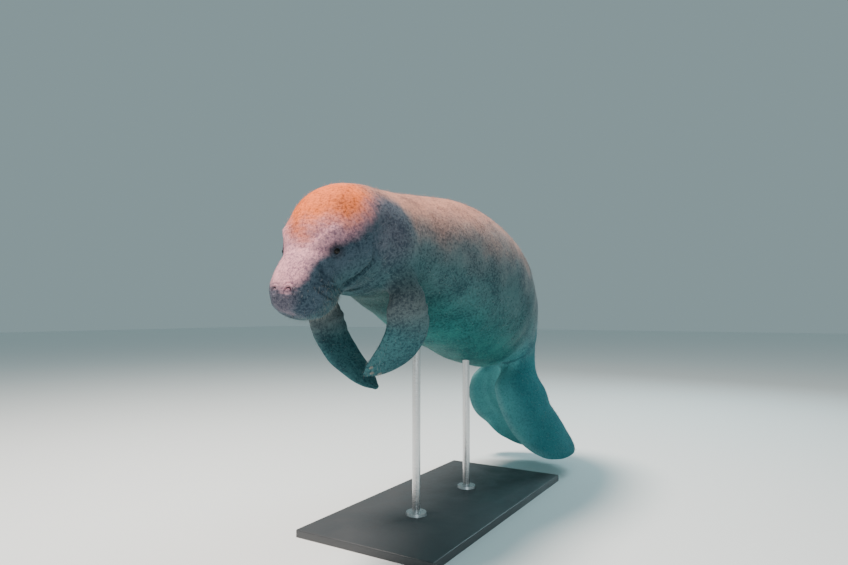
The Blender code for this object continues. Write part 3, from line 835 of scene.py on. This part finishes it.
# A painted highlight along the tail's thin edges, where light catches them.
rim = smooth_step(0.90, 0.99, np.abs(np.cos(np.radians(read_values(skin.data, "round")))))
rim *= smooth_step(0.765, 0.790, along) * (1 - smooth_step(0.87, 0.93, along))
MARKS = {
    "fold": fold,
    "rim": rim,
    "along": along,
    "facing": facing,
    "limb": limb,
    # Painted shade round each eye, darkest at the eye.
    "socket": 1 - smooth_step(0.004, 0.040, eye_gap),
    # Above zero on the side of the painted sunlight, below zero in painted shade.
    "painted_sun": facing - np.sin(np.radians(np.interp(along, edge_places, edge_angles))),
}
for label, values in MARKS.items():
    store(skin.data, label, values)
print("limb corners:", int((limb > 0.2).sum()))

# %% [markdown]
# ## Paint that follows the animal
# In life the hide is grey-brown with dark and pale flecks, a little warmer on
# the crown, pinkish on the snout and greener below. Painted light makes these
# far stronger: warm painted sunlight on the crown and back, painted blue-green
# light from below on the belly and tail, and painted shade on the sides of the
# head, under the chin, round the eyes and in the folds. One node group holds
# the colour, painted light included, which skin and hairs share, a second the
# flecks and a third the wrinkles.

# %% Helpers for groups and nodes
def new_group(name, inputs, outputs):
    group = bpy.data.node_groups.new(name, "ShaderNodeTree")
    for label, kind, value in inputs:
        socket = group.interface.new_socket(label, in_out="INPUT", socket_type=kind)
        socket.default_value = value
    for label, kind in outputs:
        group.interface.new_socket(label, in_out="OUTPUT", socket_type=kind)
    group.nodes.new("NodeGroupInput").name = "in"
    group.nodes.new("NodeGroupOutput").name = "out"
    return group


def add_node(tree, kind, **values):
    node = tree.nodes.new(kind)
    for label, value in values.items():
        setattr(node, label, value)
    return node


def link(tree, source, target):
    tree.links.new(source, target)


def math_node(tree, operation, first, second):
    node = add_node(tree, "ShaderNodeMath", operation=operation)
    for index, value in enumerate((first, second)):
        if isinstance(value, (int, float)):
            node.inputs[index].default_value = value
        else:
            link(tree, value, node.inputs[index])
    return node.outputs[0]


def times(tree, first, second):
    return math_node(tree, "MULTIPLY", first, second)


def plus(tree, first, second):
    return math_node(tree, "ADD", first, second)


def range_node(tree, value, low, high, first=0.0, last=1.0):
    node = add_node(tree, "ShaderNodeMapRange", interpolation_type="SMOOTHSTEP")
    link(tree, value, node.inputs["Value"])
    node.inputs["From Min"].default_value = low
    node.inputs["From Max"].default_value = high
    node.inputs["To Min"].default_value = first
    node.inputs["To Max"].default_value = last
    return node.outputs["Result"]


def mix_colour(tree, share, first, second, blend="MIX"):
    node = add_node(tree, "ShaderNodeMix", data_type="RGBA", blend_type=blend)
    for socket, value in ((node.inputs[0], share), (node.inputs[6], first), (node.inputs[7], second)):
        if isinstance(value, (int, float)):
            socket.default_value = value
        elif isinstance(value, tuple):
            socket.default_value = (*value, 1.0)
        else:
            link(tree, value, socket)
    return node.outputs[2]


def noise_node(tree, vector, scale, detail=4.0, rough=0.6):
    node = add_node(tree, "ShaderNodeTexNoise")
    link(tree, vector, node.inputs["Vector"])
    node.inputs["Scale"].default_value = scale
    node.inputs["Detail"].default_value = detail
    node.inputs["Roughness"].default_value = rough
    return node.outputs["Fac"]


def attribute(tree, name):
    return add_node(tree, "ShaderNodeAttribute", attribute_name=name).outputs["Fac"]


def own_coordinates(tree):
    return add_node(tree, "ShaderNodeTexCoord").outputs["Object"]


# Lays a colour over another where a value climbs from low to high.
def lay_over(tree, base, colour, value, low, high):
    return mix_colour(tree, range_node(tree, value, low, high), base, colour)


def add_bump(tree, shader, height, strength, distance):
    bump = add_node(tree, "ShaderNodeBump")
    bump.inputs["Strength"].default_value = strength
    bump.inputs["Distance"].default_value = distance
    link(tree, height, bump.inputs["Height"])
    link(tree, bump.outputs["Normal"], shader.inputs["Normal"])


print("node helpers ready")

# %% The hide's colour, with painted light and shade
# Warm painted sunlight on the crown, over a little warmth of its own.
SUNLIT_CROWN = (0.84, 0.185, 0.055)
# The snout's own pink; it also fills the half-shaded band between painted sunlight and painted shade.
PINK = (0.76, 0.36, 0.41)
# Painted shade on the sides of the head, and on the neck behind them.
SLATE_SHADE = (0.057, 0.086, 0.113)
NECK_SHADE = (0.135, 0.140, 0.172)
# The muzzle's front where it faces up: painted light from above, with painted shade below it.
DISC = (0.135, 0.125, 0.160)
# Painted shade under the chin and lips, tinted blue-green.
CHIN_SHADE = (0.050, 0.100, 0.116)
# Painted shade in the eye sockets.
SOCKET_SHADE = (0.036, 0.040, 0.054)
# The hide's grey on the flank; below it, painted shade and painted blue-green light from below.
FLANK = (0.205, 0.210, 0.216)
LOW_FLANK = (0.058, 0.126, 0.136)
# Warm painted sunlight on the top of the back.
SUNLIT_BACK = (0.57, 0.27, 0.20)
# The belly and throat: painted blue-green light from below over the hide's grey, the throat darker
# with painted shade.
BELLY = (0.026, 0.152, 0.148)
THROAT = (0.020, 0.082, 0.084)
# The tail: paler beneath and darker above, both painted blue-green light.
TAIL = (0.036, 0.184, 0.208)
TAIL_UNDER = (0.082, 0.300, 0.315)
# The arm keeps the hide's grey; the hand's teal is partly its own tone, partly painted blue-green
# light from below.
ARM = (0.112, 0.122, 0.128)
HAND = (0.048, 0.128, 0.142)
# Painted highlight on the tail's thin edges.
LOBE_EDGE_HIGHLIGHT = (0.190, 0.400, 0.410)
# Painted shade in the creases.
FOLD_SHADE = (0.42, 0.46, 0.52)


def make_hide_and_painted_light():
    group = new_group("hide colour and painted light", [], [("Colour", "NodeSocketColor")])
    marks = {name: attribute(group, name) for name in MARKS}
    sway = math_node(group, "SUBTRACT", noise_node(group, own_coordinates(group), 6.0, 5.0), 0.5)

    def swayed(name, share):
        return plus(group, times(group, sway, share), marks[name])

    up = swayed("facing", 0.55)
    spot = swayed("along", 0.04)
    painted_sun = swayed("painted_sun", 0.60)
    # The crown turns from pink to orange further back and deeper in the painted sunlight.
    warm = plus(group, times(group, spot, 7.3), painted_sun)
    # The trunk from belly to back by which way it faces: painted blue-green light and painted shade
    # below, painted sunlight on top.
    belly = lay_over(group, THROAT, BELLY, spot, 0.24, 0.36)
    trunk = lay_over(group, belly, LOW_FLANK, up, -0.95, -0.25)
    trunk = lay_over(group, trunk, FLANK, up, -0.30, 0.40)
    # Warm painted sunlight on the top of the back.
    trunk = lay_over(group, trunk, SUNLIT_BACK, painted_sun, -0.42, 0.30)
    crown = lay_over(group, PINK, SUNLIT_CROWN, warm, 0.66, 1.14)
    crown = lay_over(group, crown, SUNLIT_BACK, spot, 0.122, 0.146)
    # The head: painted sunlight on the crown, painted shade on its sides.
    shaded_head = lay_over(group, SLATE_SHADE, NECK_SHADE, spot, 0.112, 0.134)
    head = lay_over(group, shaded_head, crown, painted_sun, -0.24, 0.17)
    # The muzzle's front, paler where it faces up: painted light from above.
    disc = lay_over(group, SLATE_SHADE, DISC, marks["facing"], 0.60, 1.00)
    head = lay_over(group, disc, head, spot, 0.016, 0.034)
    # Painted shade where the head faces down.
    head = lay_over(group, head, CHIN_SHADE, up, 0.15, -0.60)
    body = lay_over(group, head, trunk, spot, 0.140, 0.200)
    # The tail paler beneath and darker above: painted light.
    tail = lay_over(group, TAIL_UNDER, TAIL, marks["facing"], -0.35, 0.15)
    body = lay_over(group, body, tail, spot, 0.60, 0.78)
    # Painted highlight on the tail's edges.
    body = mix_colour(group, times(group, marks["rim"], 0.60), body, LOBE_EDGE_HIGHLIGHT)
    # Painted shade in the eye sockets.
    body = mix_colour(group, times(group, marks["socket"], 0.85), body, SOCKET_SHADE)
    flipper = lay_over(group, ARM, HAND, marks["limb"], 0.30, 0.66)
    body = lay_over(group, body, flipper, marks["limb"], 0.14, 0.46)
    # Painted shade in the creases.
    body = mix_colour(group, marks["fold"], body, FOLD_SHADE, "MULTIPLY")
    link(group, body, group.nodes["out"].inputs["Colour"])
    return group


HIDE_AND_PAINTED_LIGHT = make_hide_and_painted_light()
print("colour nodes:", len(HIDE_AND_PAINTED_LIGHT.nodes))


# %% Flecks and wrinkles
def make_flecks():
    group = new_group(
        "flecks",
        [("Strength", "NodeSocketFloat", 1.0)],
        [("Dark", "NodeSocketFloat"), ("Pale", "NodeSocketFloat")],
    )
    out = group.nodes["out"]
    strength = group.nodes["in"].outputs["Strength"]
    coords = own_coordinates(group)
    fine = noise_node(group, coords, 105.0, 4.0, 0.68)
    small = noise_node(group, coords, 290.0, 2.0, 0.60)
    broad = noise_node(group, coords, 9.0, 5.0, 0.65)
    shade = times(group, math_node(group, "SUBTRACT", broad, 0.5), 0.50)
    fine = plus(group, fine, shade)
    small = plus(group, small, shade)
    dark = range_node(group, fine, 0.52, 0.36)
    dark_small = range_node(group, small, 0.48, 0.36, 0.0, 0.7)
    dark = math_node(group, "MAXIMUM", dark, dark_small)
    pale = range_node(group, fine, 0.52, 0.70)
    link(group, times(group, dark, strength), out.inputs["Dark"])
    link(group, times(group, pale, strength), out.inputs["Pale"])
    return group


def make_wrinkles():
    group = new_group("wrinkles", [], [("Height", "NodeSocketFloat")])
    coords = own_coordinates(group)
    stretch = add_node(group, "ShaderNodeMapping")
    stretch.inputs["Scale"].default_value = (1.0, 2.2, 1.0)
    link(group, coords, stretch.inputs["Vector"])
    cells = add_node(group, "ShaderNodeTexVoronoi", feature="DISTANCE_TO_EDGE")
    link(group, stretch.outputs["Vector"], cells.inputs["Vector"])
    cells.inputs["Scale"].default_value = 95.0
    cracks = range_node(group, cells.outputs["Distance"], 0.0, 0.14)
    grain = noise_node(group, coords, 260.0, 4.0, 0.65)
    broad = noise_node(group, stretch.outputs["Vector"], 38.0, 4.0, 0.6)
    total = times(group, cracks, 0.18)
    total = plus(group, total, times(group, grain, 0.38))
    total = plus(group, total, times(group, broad, 0.50))
    link(group, total, group.nodes["out"].inputs["Height"])
    return group


FLECKS = make_flecks()
WRINKLES = make_wrinkles()
print("groups:", len(bpy.data.node_groups))


# %% The hide's own material
DARK_FLECK = (0.24, 0.29, 0.38)
PALE_FLECK = (1.40, 1.34, 1.30)


def place_group(tree, group):
    node = add_node(tree, "ShaderNodeGroup")
    node.node_tree = group
    return node


def new_material(name):
    material = bpy.data.materials.new(name)
    material.use_nodes = True
    tree = material.node_tree
    return material, tree, tree.nodes["Principled BSDF"]


def make_skin_material():
    material, tree, shader = new_material("hide")
    colour = place_group(tree, HIDE_AND_PAINTED_LIGHT).outputs["Colour"]
    flecks = place_group(tree, FLECKS)
    strength = range_node(tree, attribute(tree, "along"), 0.66, 0.80, 1.0, 0.5)
    link(tree, strength, flecks.inputs["Strength"])
    dark_share = times(tree, flecks.outputs["Dark"], 0.74)
    colour = mix_colour(tree, dark_share, colour, DARK_FLECK, "MULTIPLY")
    pale_share = times(tree, flecks.outputs["Pale"], 0.70)
    colour = mix_colour(tree, pale_share, colour, PALE_FLECK, "MULTIPLY")
    link(tree, colour, shader.inputs["Base Color"])
    rough = range_node(tree, flecks.outputs["Dark"], 0.0, 1.0, 0.52, 0.66)
    link(tree, rough, shader.inputs["Roughness"])
    shader.inputs["Specular IOR Level"].default_value = 0.03
    add_bump(tree, shader, place_group(tree, WRINKLES).outputs["Height"], 0.55, 0.004)
    return material


skin.data.materials.clear()
skin.data.materials.append(make_skin_material())
print("skin painted")

# %% [markdown]
# ## The eyes
# A manatee's eye is a small dark ball, no bigger than a thumbnail, and it
# always looks wet. A sphere is turned so that its pole is the pupil, and a
# value stored from pole to pole paints the pupil, the brown ring and the
# dark white.

# %% Eyes
EYE_WHITE = (0.014, 0.012, 0.012)
IRIS = (0.012, 0.009, 0.008)
PUPIL = (0.003, 0.003, 0.003)
CORNEA_START = 0.7
CORNEA_RISE = 0.0012


def new_piece(bm, name, material):
    mesh = take_mesh(bm, name)
    mesh.shade_smooth()
    mesh.materials.append(material)
    item = put_in_scene(name, mesh)
    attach(item, "root")
    return item


def frame_matrix(point, first, second, third):
    matrix = Matrix((first, second, third)).transposed().to_4x4()
    matrix.translation = Vector(point)
    return matrix


def make_eye_material():
    material, tree, shader = new_material("wet eye")
    gaze = attribute(tree, "gaze")
    iris = lay_over(tree, IRIS, PUPIL, gaze, 0.88, 0.93)
    ball = lay_over(tree, EYE_WHITE, iris, gaze, 0.62, 0.70)
    link(tree, ball, shader.inputs["Base Color"])
    shader.inputs["Roughness"].default_value = 0.12
    shader.inputs["Specular IOR Level"].default_value = 0.22
    return material


def make_eye(side_name, material):
    point, forward, across, normal = EYE_FRAMES[side_name]
    bm = bmesh.new()
    bmesh.ops.create_uvsphere(bm, u_segments=40, v_segments=28, radius=EYE_RADIUS)
    gaze = bm.verts.layers.float.new("gaze")
    for vert in bm.verts:
        vert[gaze] = vert.co.z / EYE_RADIUS
        bulge = max(0.0, vert.co.z / EYE_RADIUS - CORNEA_START) / (1 - CORNEA_START)
        vert.co.z += CORNEA_RISE * bulge
    centre = point - normal * EYE_SINK
    bmesh.ops.transform(bm, matrix=frame_matrix(centre, forward, across, normal), verts=bm.verts)
    eye = new_piece(bm, "eyeball_" + side_name, material)
    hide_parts("eye_" + side_name)
    return eye


eye_material = make_eye_material()
for side_name in EYE_FRAMES:
    make_eye(side_name, eye_material)
print("eyes made")

# %% [markdown]
# ## The nails
# Three blunt nails lie on the outer face of each hand, near its tip. Each
# starts as a sphere that is squeezed flat and drawn forward.

# %% Nails
NAILS = 3
NAIL_PLACE = 0.955
NAIL_SIZE = (0.0100, 0.0065, 0.0038)
NAIL_SPREAD = 0.56
NAIL_STEP = 0.03
NAIL_SINK = 0.0012
NAIL_PALE = (0.17, 0.18, 0.17)
NAIL_DARK = (0.10, 0.11, 0.10)


def make_nail_material():
    material, tree, shader = new_material("nail")
    coords = own_coordinates(tree)
    grain = noise_node(tree, coords, 420.0, 4.0)
    colour = mix_colour(tree, grain, NAIL_PALE, NAIL_DARK)
    link(tree, colour, shader.inputs["Base Color"])
    shader.inputs["Roughness"].default_value = 0.38
    add_bump(tree, shader, grain, 0.3, 0.0006)
    return material


def make_nail(side_name, index, material):
    flipper = FLIPPERS[side_name]
    from_middle = index - (NAILS - 1) / 2
    offset = from_middle * NAIL_SPREAD
    share = NAIL_PLACE - NAIL_STEP * abs(from_middle)
    middle, hind, face, ahead = flipper.frame(np.array(share))
    outward = face if face[0] * (1 if side_name == "left" else -1) > 0 else -face
    lift = float(flipper.thick(share)) * math.sqrt(1 - offset * offset)
    point = middle + hind * float(flipper.chord(share)) * offset + outward * (lift - NAIL_SINK)
    bm = bmesh.new()
    bmesh.ops.create_uvsphere(bm, u_segments=28, v_segments=16, radius=1.0)
    # The nail narrows toward its free end and is highest in its middle.
    for vert in bm.verts:
        vert.co.y *= 1.0 - 0.28 * vert.co.x
        vert.co.z += 0.25 * (1 - vert.co.x ** 2) * (vert.co.z > 0)
    bmesh.ops.scale(bm, vec=NAIL_SIZE, verts=bm.verts)
    matrix = frame_matrix(point, ahead, np.cross(outward, ahead), outward)
    bmesh.ops.transform(bm, matrix=matrix, verts=bm.verts)
    name = side_name + "_" + str(index + 1)
    nail = new_piece(bm, "hand_nail_" + name, material)
    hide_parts("nail_" + name)


nail_material = make_nail_material()
for side_name in FLIPPERS:
    for index in range(NAILS):
        make_nail(side_name, index, nail_material)
print("nails made:", NAILS * 2)

# %% [markdown]
# ## Sparse hairs and bristles
# A manatee has single hairs all over its back and stout bristles round its
# mouth. One tapered hair is made, an array repeats it, and each copy is then
# set on the skin. Its bake patch lies where its root lies on the body.

# %% One hair, and how it is set
# A hair rises at its root and leans over more toward its tip.
TIP_FALL = 0.55
ROOT_LEAN = 0.35
TIP_LEAN = 0.95
# The bake patch of one hair, in shares of the picture that is baked.
PATCH_WIDTH = 0.0006
PATCH_HEIGHT = 0.0026
PATCH_SLANT = 0.0002
HAIR_PALE = (0.42, 0.40, 0.36)


def hair_seed(sides, bends):
    bm = bmesh.new()
    bmesh.ops.create_cone(
        bm, cap_ends=True, cap_tris=True, segments=sides, radius1=1.0, radius2=0.18, depth=1.0
    )
    bmesh.ops.translate(bm, vec=(0, 0, 0.5), verts=bm.verts)
    uprights = [edge for edge in bm.edges if abs(edge.verts[0].co.z - edge.verts[1].co.z) > 0.5]
    bmesh.ops.subdivide_edges(bm, edges=uprights, cuts=bends)
    bmesh.ops.triangulate(bm, faces=bm.faces)
    bm.loops.layers.uv.new("OFBake")
    return take_mesh(bm, "hair_seed")


# Draws places on the skin by weight, and the marks that the skin has there.
def choose_roots(weight, count, seed):
    mesh = skin.data
    mesh.calc_loop_triangles()
    corners = read_field(mesh.loop_triangles, "vertices", 3, np.int32)
    spots = read_points(mesh)
    first, second, third = (spots[corners[:, column]] for column in range(3))
    cross = np.cross(second - first, third - first)
    area = np.linalg.norm(cross, axis=1) / 2
    chance = area * weight[corners].mean(axis=1)
    random = np.random.default_rng(seed)
    chosen = random.choice(len(corners), size=count, p=chance / chance.sum())
    shares = random.dirichlet((1, 1, 1), count)
    roots = np.einsum("ij,ijk->ik", shares, spots[corners[chosen]])
    outward = cross[chosen] / (2 * area[chosen, None] + 1e-12)
    marks = {name: values[corners[chosen]].mean(axis=1) for name, values in MARKS.items()}
    return roots, outward, marks, random


def set_hairs(name, seed_mesh, roots, outward, lean, length, radius, marks, material):
    count = len(roots)
    lean = unit(lean)
    item = put_in_scene(name, seed_mesh)
    array = item.modifiers.new("many", "ARRAY")
    array.count = count
    array.use_relative_offset = False
    array.use_constant_offset = True
    array.constant_offset_displace = (0, 0, 0)
    graph = bpy.context.evaluated_depsgraph_get()
    mesh = bpy.data.meshes.new_from_object(item.evaluated_get(graph))
    item.modifiers.clear()
    item.data = mesh
    mesh.name = name
    local = read_points(mesh).reshape(count, -1, 3)
    rise = local[:, :, 2:3]
    sideways = unit(np.cross(outward, lean))
    third = np.cross(lean, sideways)
    curve = outward[:, None, :] * (1 - TIP_FALL * rise)
    curve += lean[:, None, :] * (ROOT_LEAN + TIP_LEAN * rise)
    middle = roots[:, None, :] + unit(curve) * (rise * length[:, None, None])
    spread = sideways[:, None, :] * local[:, :, 0:1] + third[:, None, :] * local[:, :, 1:2]
    write_points(mesh, (middle + spread * radius[:, None, None]).reshape(-1, 3))
    per_hair = local.shape[1]
    for label, values in marks.items():
        store(mesh, label, np.repeat(values, per_hair))
    place = marks["along"]
    side, up, _ = spine_axes(place)
    offset = roots - spine_point(place)
    bearing = np.arctan2(dot(offset, up), dot(offset, side))
    home = np.stack((place * 0.98, bearing / math.tau + 0.5), axis=1)
    loops = read_field(mesh.loops, "vertex_index", 1, np.int32)[:, 0]
    flat = local.reshape(-1, 3)[loops]
    upright = flat[:, 2] * PATCH_HEIGHT - PATCH_HEIGHT / 2 + flat[:, 1] * PATCH_SLANT
    patch = np.stack((flat[:, 0] * PATCH_WIDTH, upright), axis=1)
    spots = (home[loops // per_hair] + patch).astype(np.float32)
    mesh.uv_layers["OFBake"].data.foreach_set("uv", spots.ravel())
    mesh.shade_smooth()
    mesh.materials.append(material)
    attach(item, "root")
    return item


def make_hair_material(name, pale):
    material, tree, shader = new_material(name)
    colour = place_group(tree, HIDE_AND_PAINTED_LIGHT).outputs["Colour"]
    link(tree, mix_colour(tree, pale, colour, HAIR_PALE), shader.inputs["Base Color"])
    shader.inputs["Roughness"].default_value = 0.5
    return material


print("hair helpers ready")

# %% Hairs
HAIR_COUNT = 9000
HAIR_SINK = 0.001
nostril_gap = distance_to(points, NOSTRIL_POINTS)
clear = smooth_step(0.022, 0.045, eye_gap) * smooth_step(0.020, 0.030, nostril_gap)
back_weight = (0.35 + 0.65 * smooth_step(-0.4, 0.6, facing)) * clear
back_weight = back_weight * smooth_step(0.06, 0.10, along)
roots, outward, marks, random = choose_roots(back_weight, HAIR_COUNT, 11)
tailward = spine_axes(marks["along"])[2]
lean = square_to(tailward, outward)
hairs = set_hairs(
    "coat_body",
    hair_seed(3, 1),
    roots - outward * HAIR_SINK,
    outward,
    lean + random.normal(0, 0.35, lean.shape),
    random.uniform(0.010, 0.022, HAIR_COUNT),
    random.uniform(0.00028, 0.00042, HAIR_COUNT),
    marks,
    make_hair_material("body hair", 0.25),
)
print("hair triangles:", len(hairs.data.polygons))

# %% Bristles
BRISTLE_COUNT = 1100
BRISTLE_SINK = 0.0015
mouth = bell(along, 0.026, 0.022) * (1 - smooth_step(0.055, 0.07, along))
bristle_weight = mouth * (0.15 + 0.85 * smooth_step(0.5, -0.3, facing)) * clear
roots, outward, marks, random = choose_roots(bristle_weight, BRISTLE_COUNT, 23)
tailward = spine_axes(marks["along"])[2]
bristles = set_hairs(
    "bristles_muzzle",
    hair_seed(4, 2),
    roots - outward * BRISTLE_SINK,
    outward,
    -tailward + outward * 0.4 + random.normal(0, 0.25, outward.shape),
    random.uniform(0.007, 0.017, BRISTLE_COUNT),
    random.uniform(0.00040, 0.00062, BRISTLE_COUNT),
    marks,
    make_hair_material("bristle", 0.40),
)
print("bristle triangles:", len(bristles.data.polygons))

# %% [markdown]
# ## The stand
# A museum stand is meant to vanish: a painted board and two steel rods. The
# board's edges are rounded, as a router would leave them, and each rod rises
# from a turned foot into the animal's underside.

# %% Stand
BASE_SIZE = (0.62, 1.30, 0.030)
RODS = {"stand_rod_front": (0.0, -0.26), "stand_rod_rear": (0.0, 0.20)}
ROD_RADIUS = 0.017
FOOT_RADIUS = 0.045
FOOT_TOP_RADIUS = FOOT_RADIUS * 0.94
FOOT_HEIGHT = 0.012
SHARP_ANGLE = math.radians(35)
BOARD_PAINT = (0.045, 0.046, 0.050)
WORN_PAINT = (0.065, 0.066, 0.070)
BOARD_ROUNDING = 0.005


def make_wood_paint():
    material, tree, shader = new_material("painted board")
    coords = own_coordinates(tree)
    peel = noise_node(tree, coords, 320.0, 3.0)
    wear = noise_node(tree, coords, 9.0, 6.0)
    colour = mix_colour(tree, wear, BOARD_PAINT, WORN_PAINT)
    link(tree, colour, shader.inputs["Base Color"])
    link(tree, range_node(tree, wear, 0.3, 0.7, 0.34, 0.48), shader.inputs["Roughness"])
    add_bump(tree, shader, peel, 0.25, 0.0008)
    return material


def make_steel():
    material, tree, shader = new_material("brushed steel")
    coords = own_coordinates(tree)
    stretch = add_node(tree, "ShaderNodeMapping")
    stretch.inputs["Scale"].default_value = (60.0, 60.0, 900.0)
    link(tree, coords, stretch.inputs["Vector"])
    brush = noise_node(tree, stretch.outputs["Vector"], 1.0, 3.0)
    link(tree, range_node(tree, brush, 0.3, 0.7, 0.24, 0.38), shader.inputs["Roughness"])
    shader.inputs["Base Color"].default_value = (0.62, 0.62, 0.63, 1.0)
    shader.inputs["Metallic"].default_value = 1.0
    return material


def make_base(material):
    bm = bmesh.new()
    bmesh.ops.create_cube(bm, size=1.0)
    bmesh.ops.scale(bm, vec=BASE_SIZE, verts=bm.verts)
    bmesh.ops.translate(bm, vec=(0, 0, BASE_SIZE[2] / 2), verts=bm.verts)
    edges = [edge for edge in bm.edges if max(vert.co.z for vert in edge.verts) > BASE_SIZE[2] / 2]
    bmesh.ops.bevel(
        bm, geom=edges, offset=BOARD_ROUNDING, segments=4, profile=0.5, affect="EDGES", material=-1
    )
    base = new_piece(bm, "base_board", material)
    base.data.set_sharp_from_angle(angle=SHARP_ANGLE)
    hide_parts("stand_base")


def make_rod(name, spot, material):
    low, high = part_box(name)
    bm = bmesh.new()
    rod = (ROD_RADIUS, ROD_RADIUS, high.z - low.z, (high.z + low.z) / 2)
    foot = (FOOT_RADIUS, FOOT_TOP_RADIUS, FOOT_HEIGHT, low.z + FOOT_HEIGHT / 2)
    for bottom, top, tall, middle in (rod, foot):
        cone = bmesh.ops.create_cone(
            bm, cap_ends=True, segments=64, radius1=bottom, radius2=top, depth=tall
        )
        bmesh.ops.translate(bm, vec=(*spot, middle), verts=cone["verts"])
    item = new_piece(bm, name.replace("stand_", "steel_"), material)
    item.data.set_sharp_from_angle(angle=SHARP_ANGLE)
    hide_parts(name)


steel = make_steel()
make_base(make_wood_paint())
for name, spot in RODS.items():
    make_rod(name, spot, steel)
print("stand made")

# %% [markdown]
# ## Floor, light and camera
# A pale floor and soft lamps show the form plainly. The warm key lamp hangs
# high before the animal, a little to its far side, as the sun does in the
# photo. The camera repeats the photo's view: close, slightly from below.

# %% Floor and light
def make_floor():
    bm = bmesh.new()
    bmesh.ops.create_grid(bm, x_segments=2, y_segments=2, size=30.0)
    floor = put_in_scene("studio_floor", take_mesh(bm, "studio_floor"))
    material, tree, shader = new_material("pale floor")
    shader.inputs["Base Color"].default_value = (0.86, 0.88, 0.88, 1.0)
    shader.inputs["Roughness"].default_value = 0.8
    floor.data.materials.append(material)


def set_aim(item, place, direction):
    item.location = place
    item.rotation_mode = "QUATERNION"
    item.rotation_quaternion = Vector(direction).to_track_quat("-Z", "Y")


# name: place, point it aims at, width, watts, colour
LAMPS = {
    "key": ((-1.2, -1.8, 5.5), (0, -0.1, 1.0), 1.4, 640, (1.0, 0.90, 0.82)),
    "fill": ((3.2, -4.2, 1.9), (0, 0, 0.9), 3.0, 30, (0.76, 0.94, 1.0)),
    "rim": ((0.8, 4.2, 3.4), (0, 0.4, 1.0), 2.0, 100, (0.60, 0.92, 1.0)),
}


def make_lamp(name, place, target, size, power, colour):
    lamp = bpy.data.lights.new(name, "AREA")
    lamp.shape = "DISK"
    lamp.size = size
    lamp.energy = power
    lamp.color = colour
    set_aim(put_in_scene(name, lamp), place, Vector(target) - Vector(place))


make_floor()
for name, lamp in LAMPS.items():
    make_lamp(name, *lamp)
world = bpy.data.worlds.new("studio")
bpy.context.scene.world = world
world.use_nodes = True
sky = world.node_tree.nodes["Background"]
sky.inputs["Color"].default_value = (0.58, 0.80, 0.84, 1.0)
sky.inputs["Strength"].default_value = 0.42
print("lamps:", len(LAMPS))


# %% Camera
PHOTO_WIDTH = 848
PHOTO_HEIGHT = 565
AZIMUTH = math.radians(31)
ELEVATION = math.radians(-3)
FIELD = math.radians(70.4)
SENSOR = 36.0
BELLY_PIXEL = (440, 273)
BELLY_DISTANCE = 2.78


def make_camera():
    focus = (PHOTO_WIDTH / 2) / math.tan(FIELD / 2)
    level = math.cos(ELEVATION)
    ahead = np.array((-math.sin(AZIMUTH) * level, math.cos(AZIMUTH) * level, -math.sin(ELEVATION)))
    right = np.array((math.cos(AZIMUTH), math.sin(AZIMUTH), 0.0))
    upward = np.cross(right, ahead)
    dx = (BELLY_PIXEL[0] - PHOTO_WIDTH / 2) / focus
    dy = (PHOTO_HEIGHT / 2 - BELLY_PIXEL[1]) / focus
    place = ANCHOR - BELLY_DISTANCE * (ahead + dx * right + dy * upward)
    camera = bpy.data.cameras.new("photo_view")
    camera.lens = SENSOR * focus / PHOTO_WIDTH
    camera.sensor_width = SENSOR
    item = put_in_scene("photo_view", camera)
    set_aim(item, place, ahead)
    bpy.context.scene.camera = item
    return item


camera = make_camera()
print("camera at", [round(value, 3) for value in camera.location], "lens", round(camera.data.lens, 1))
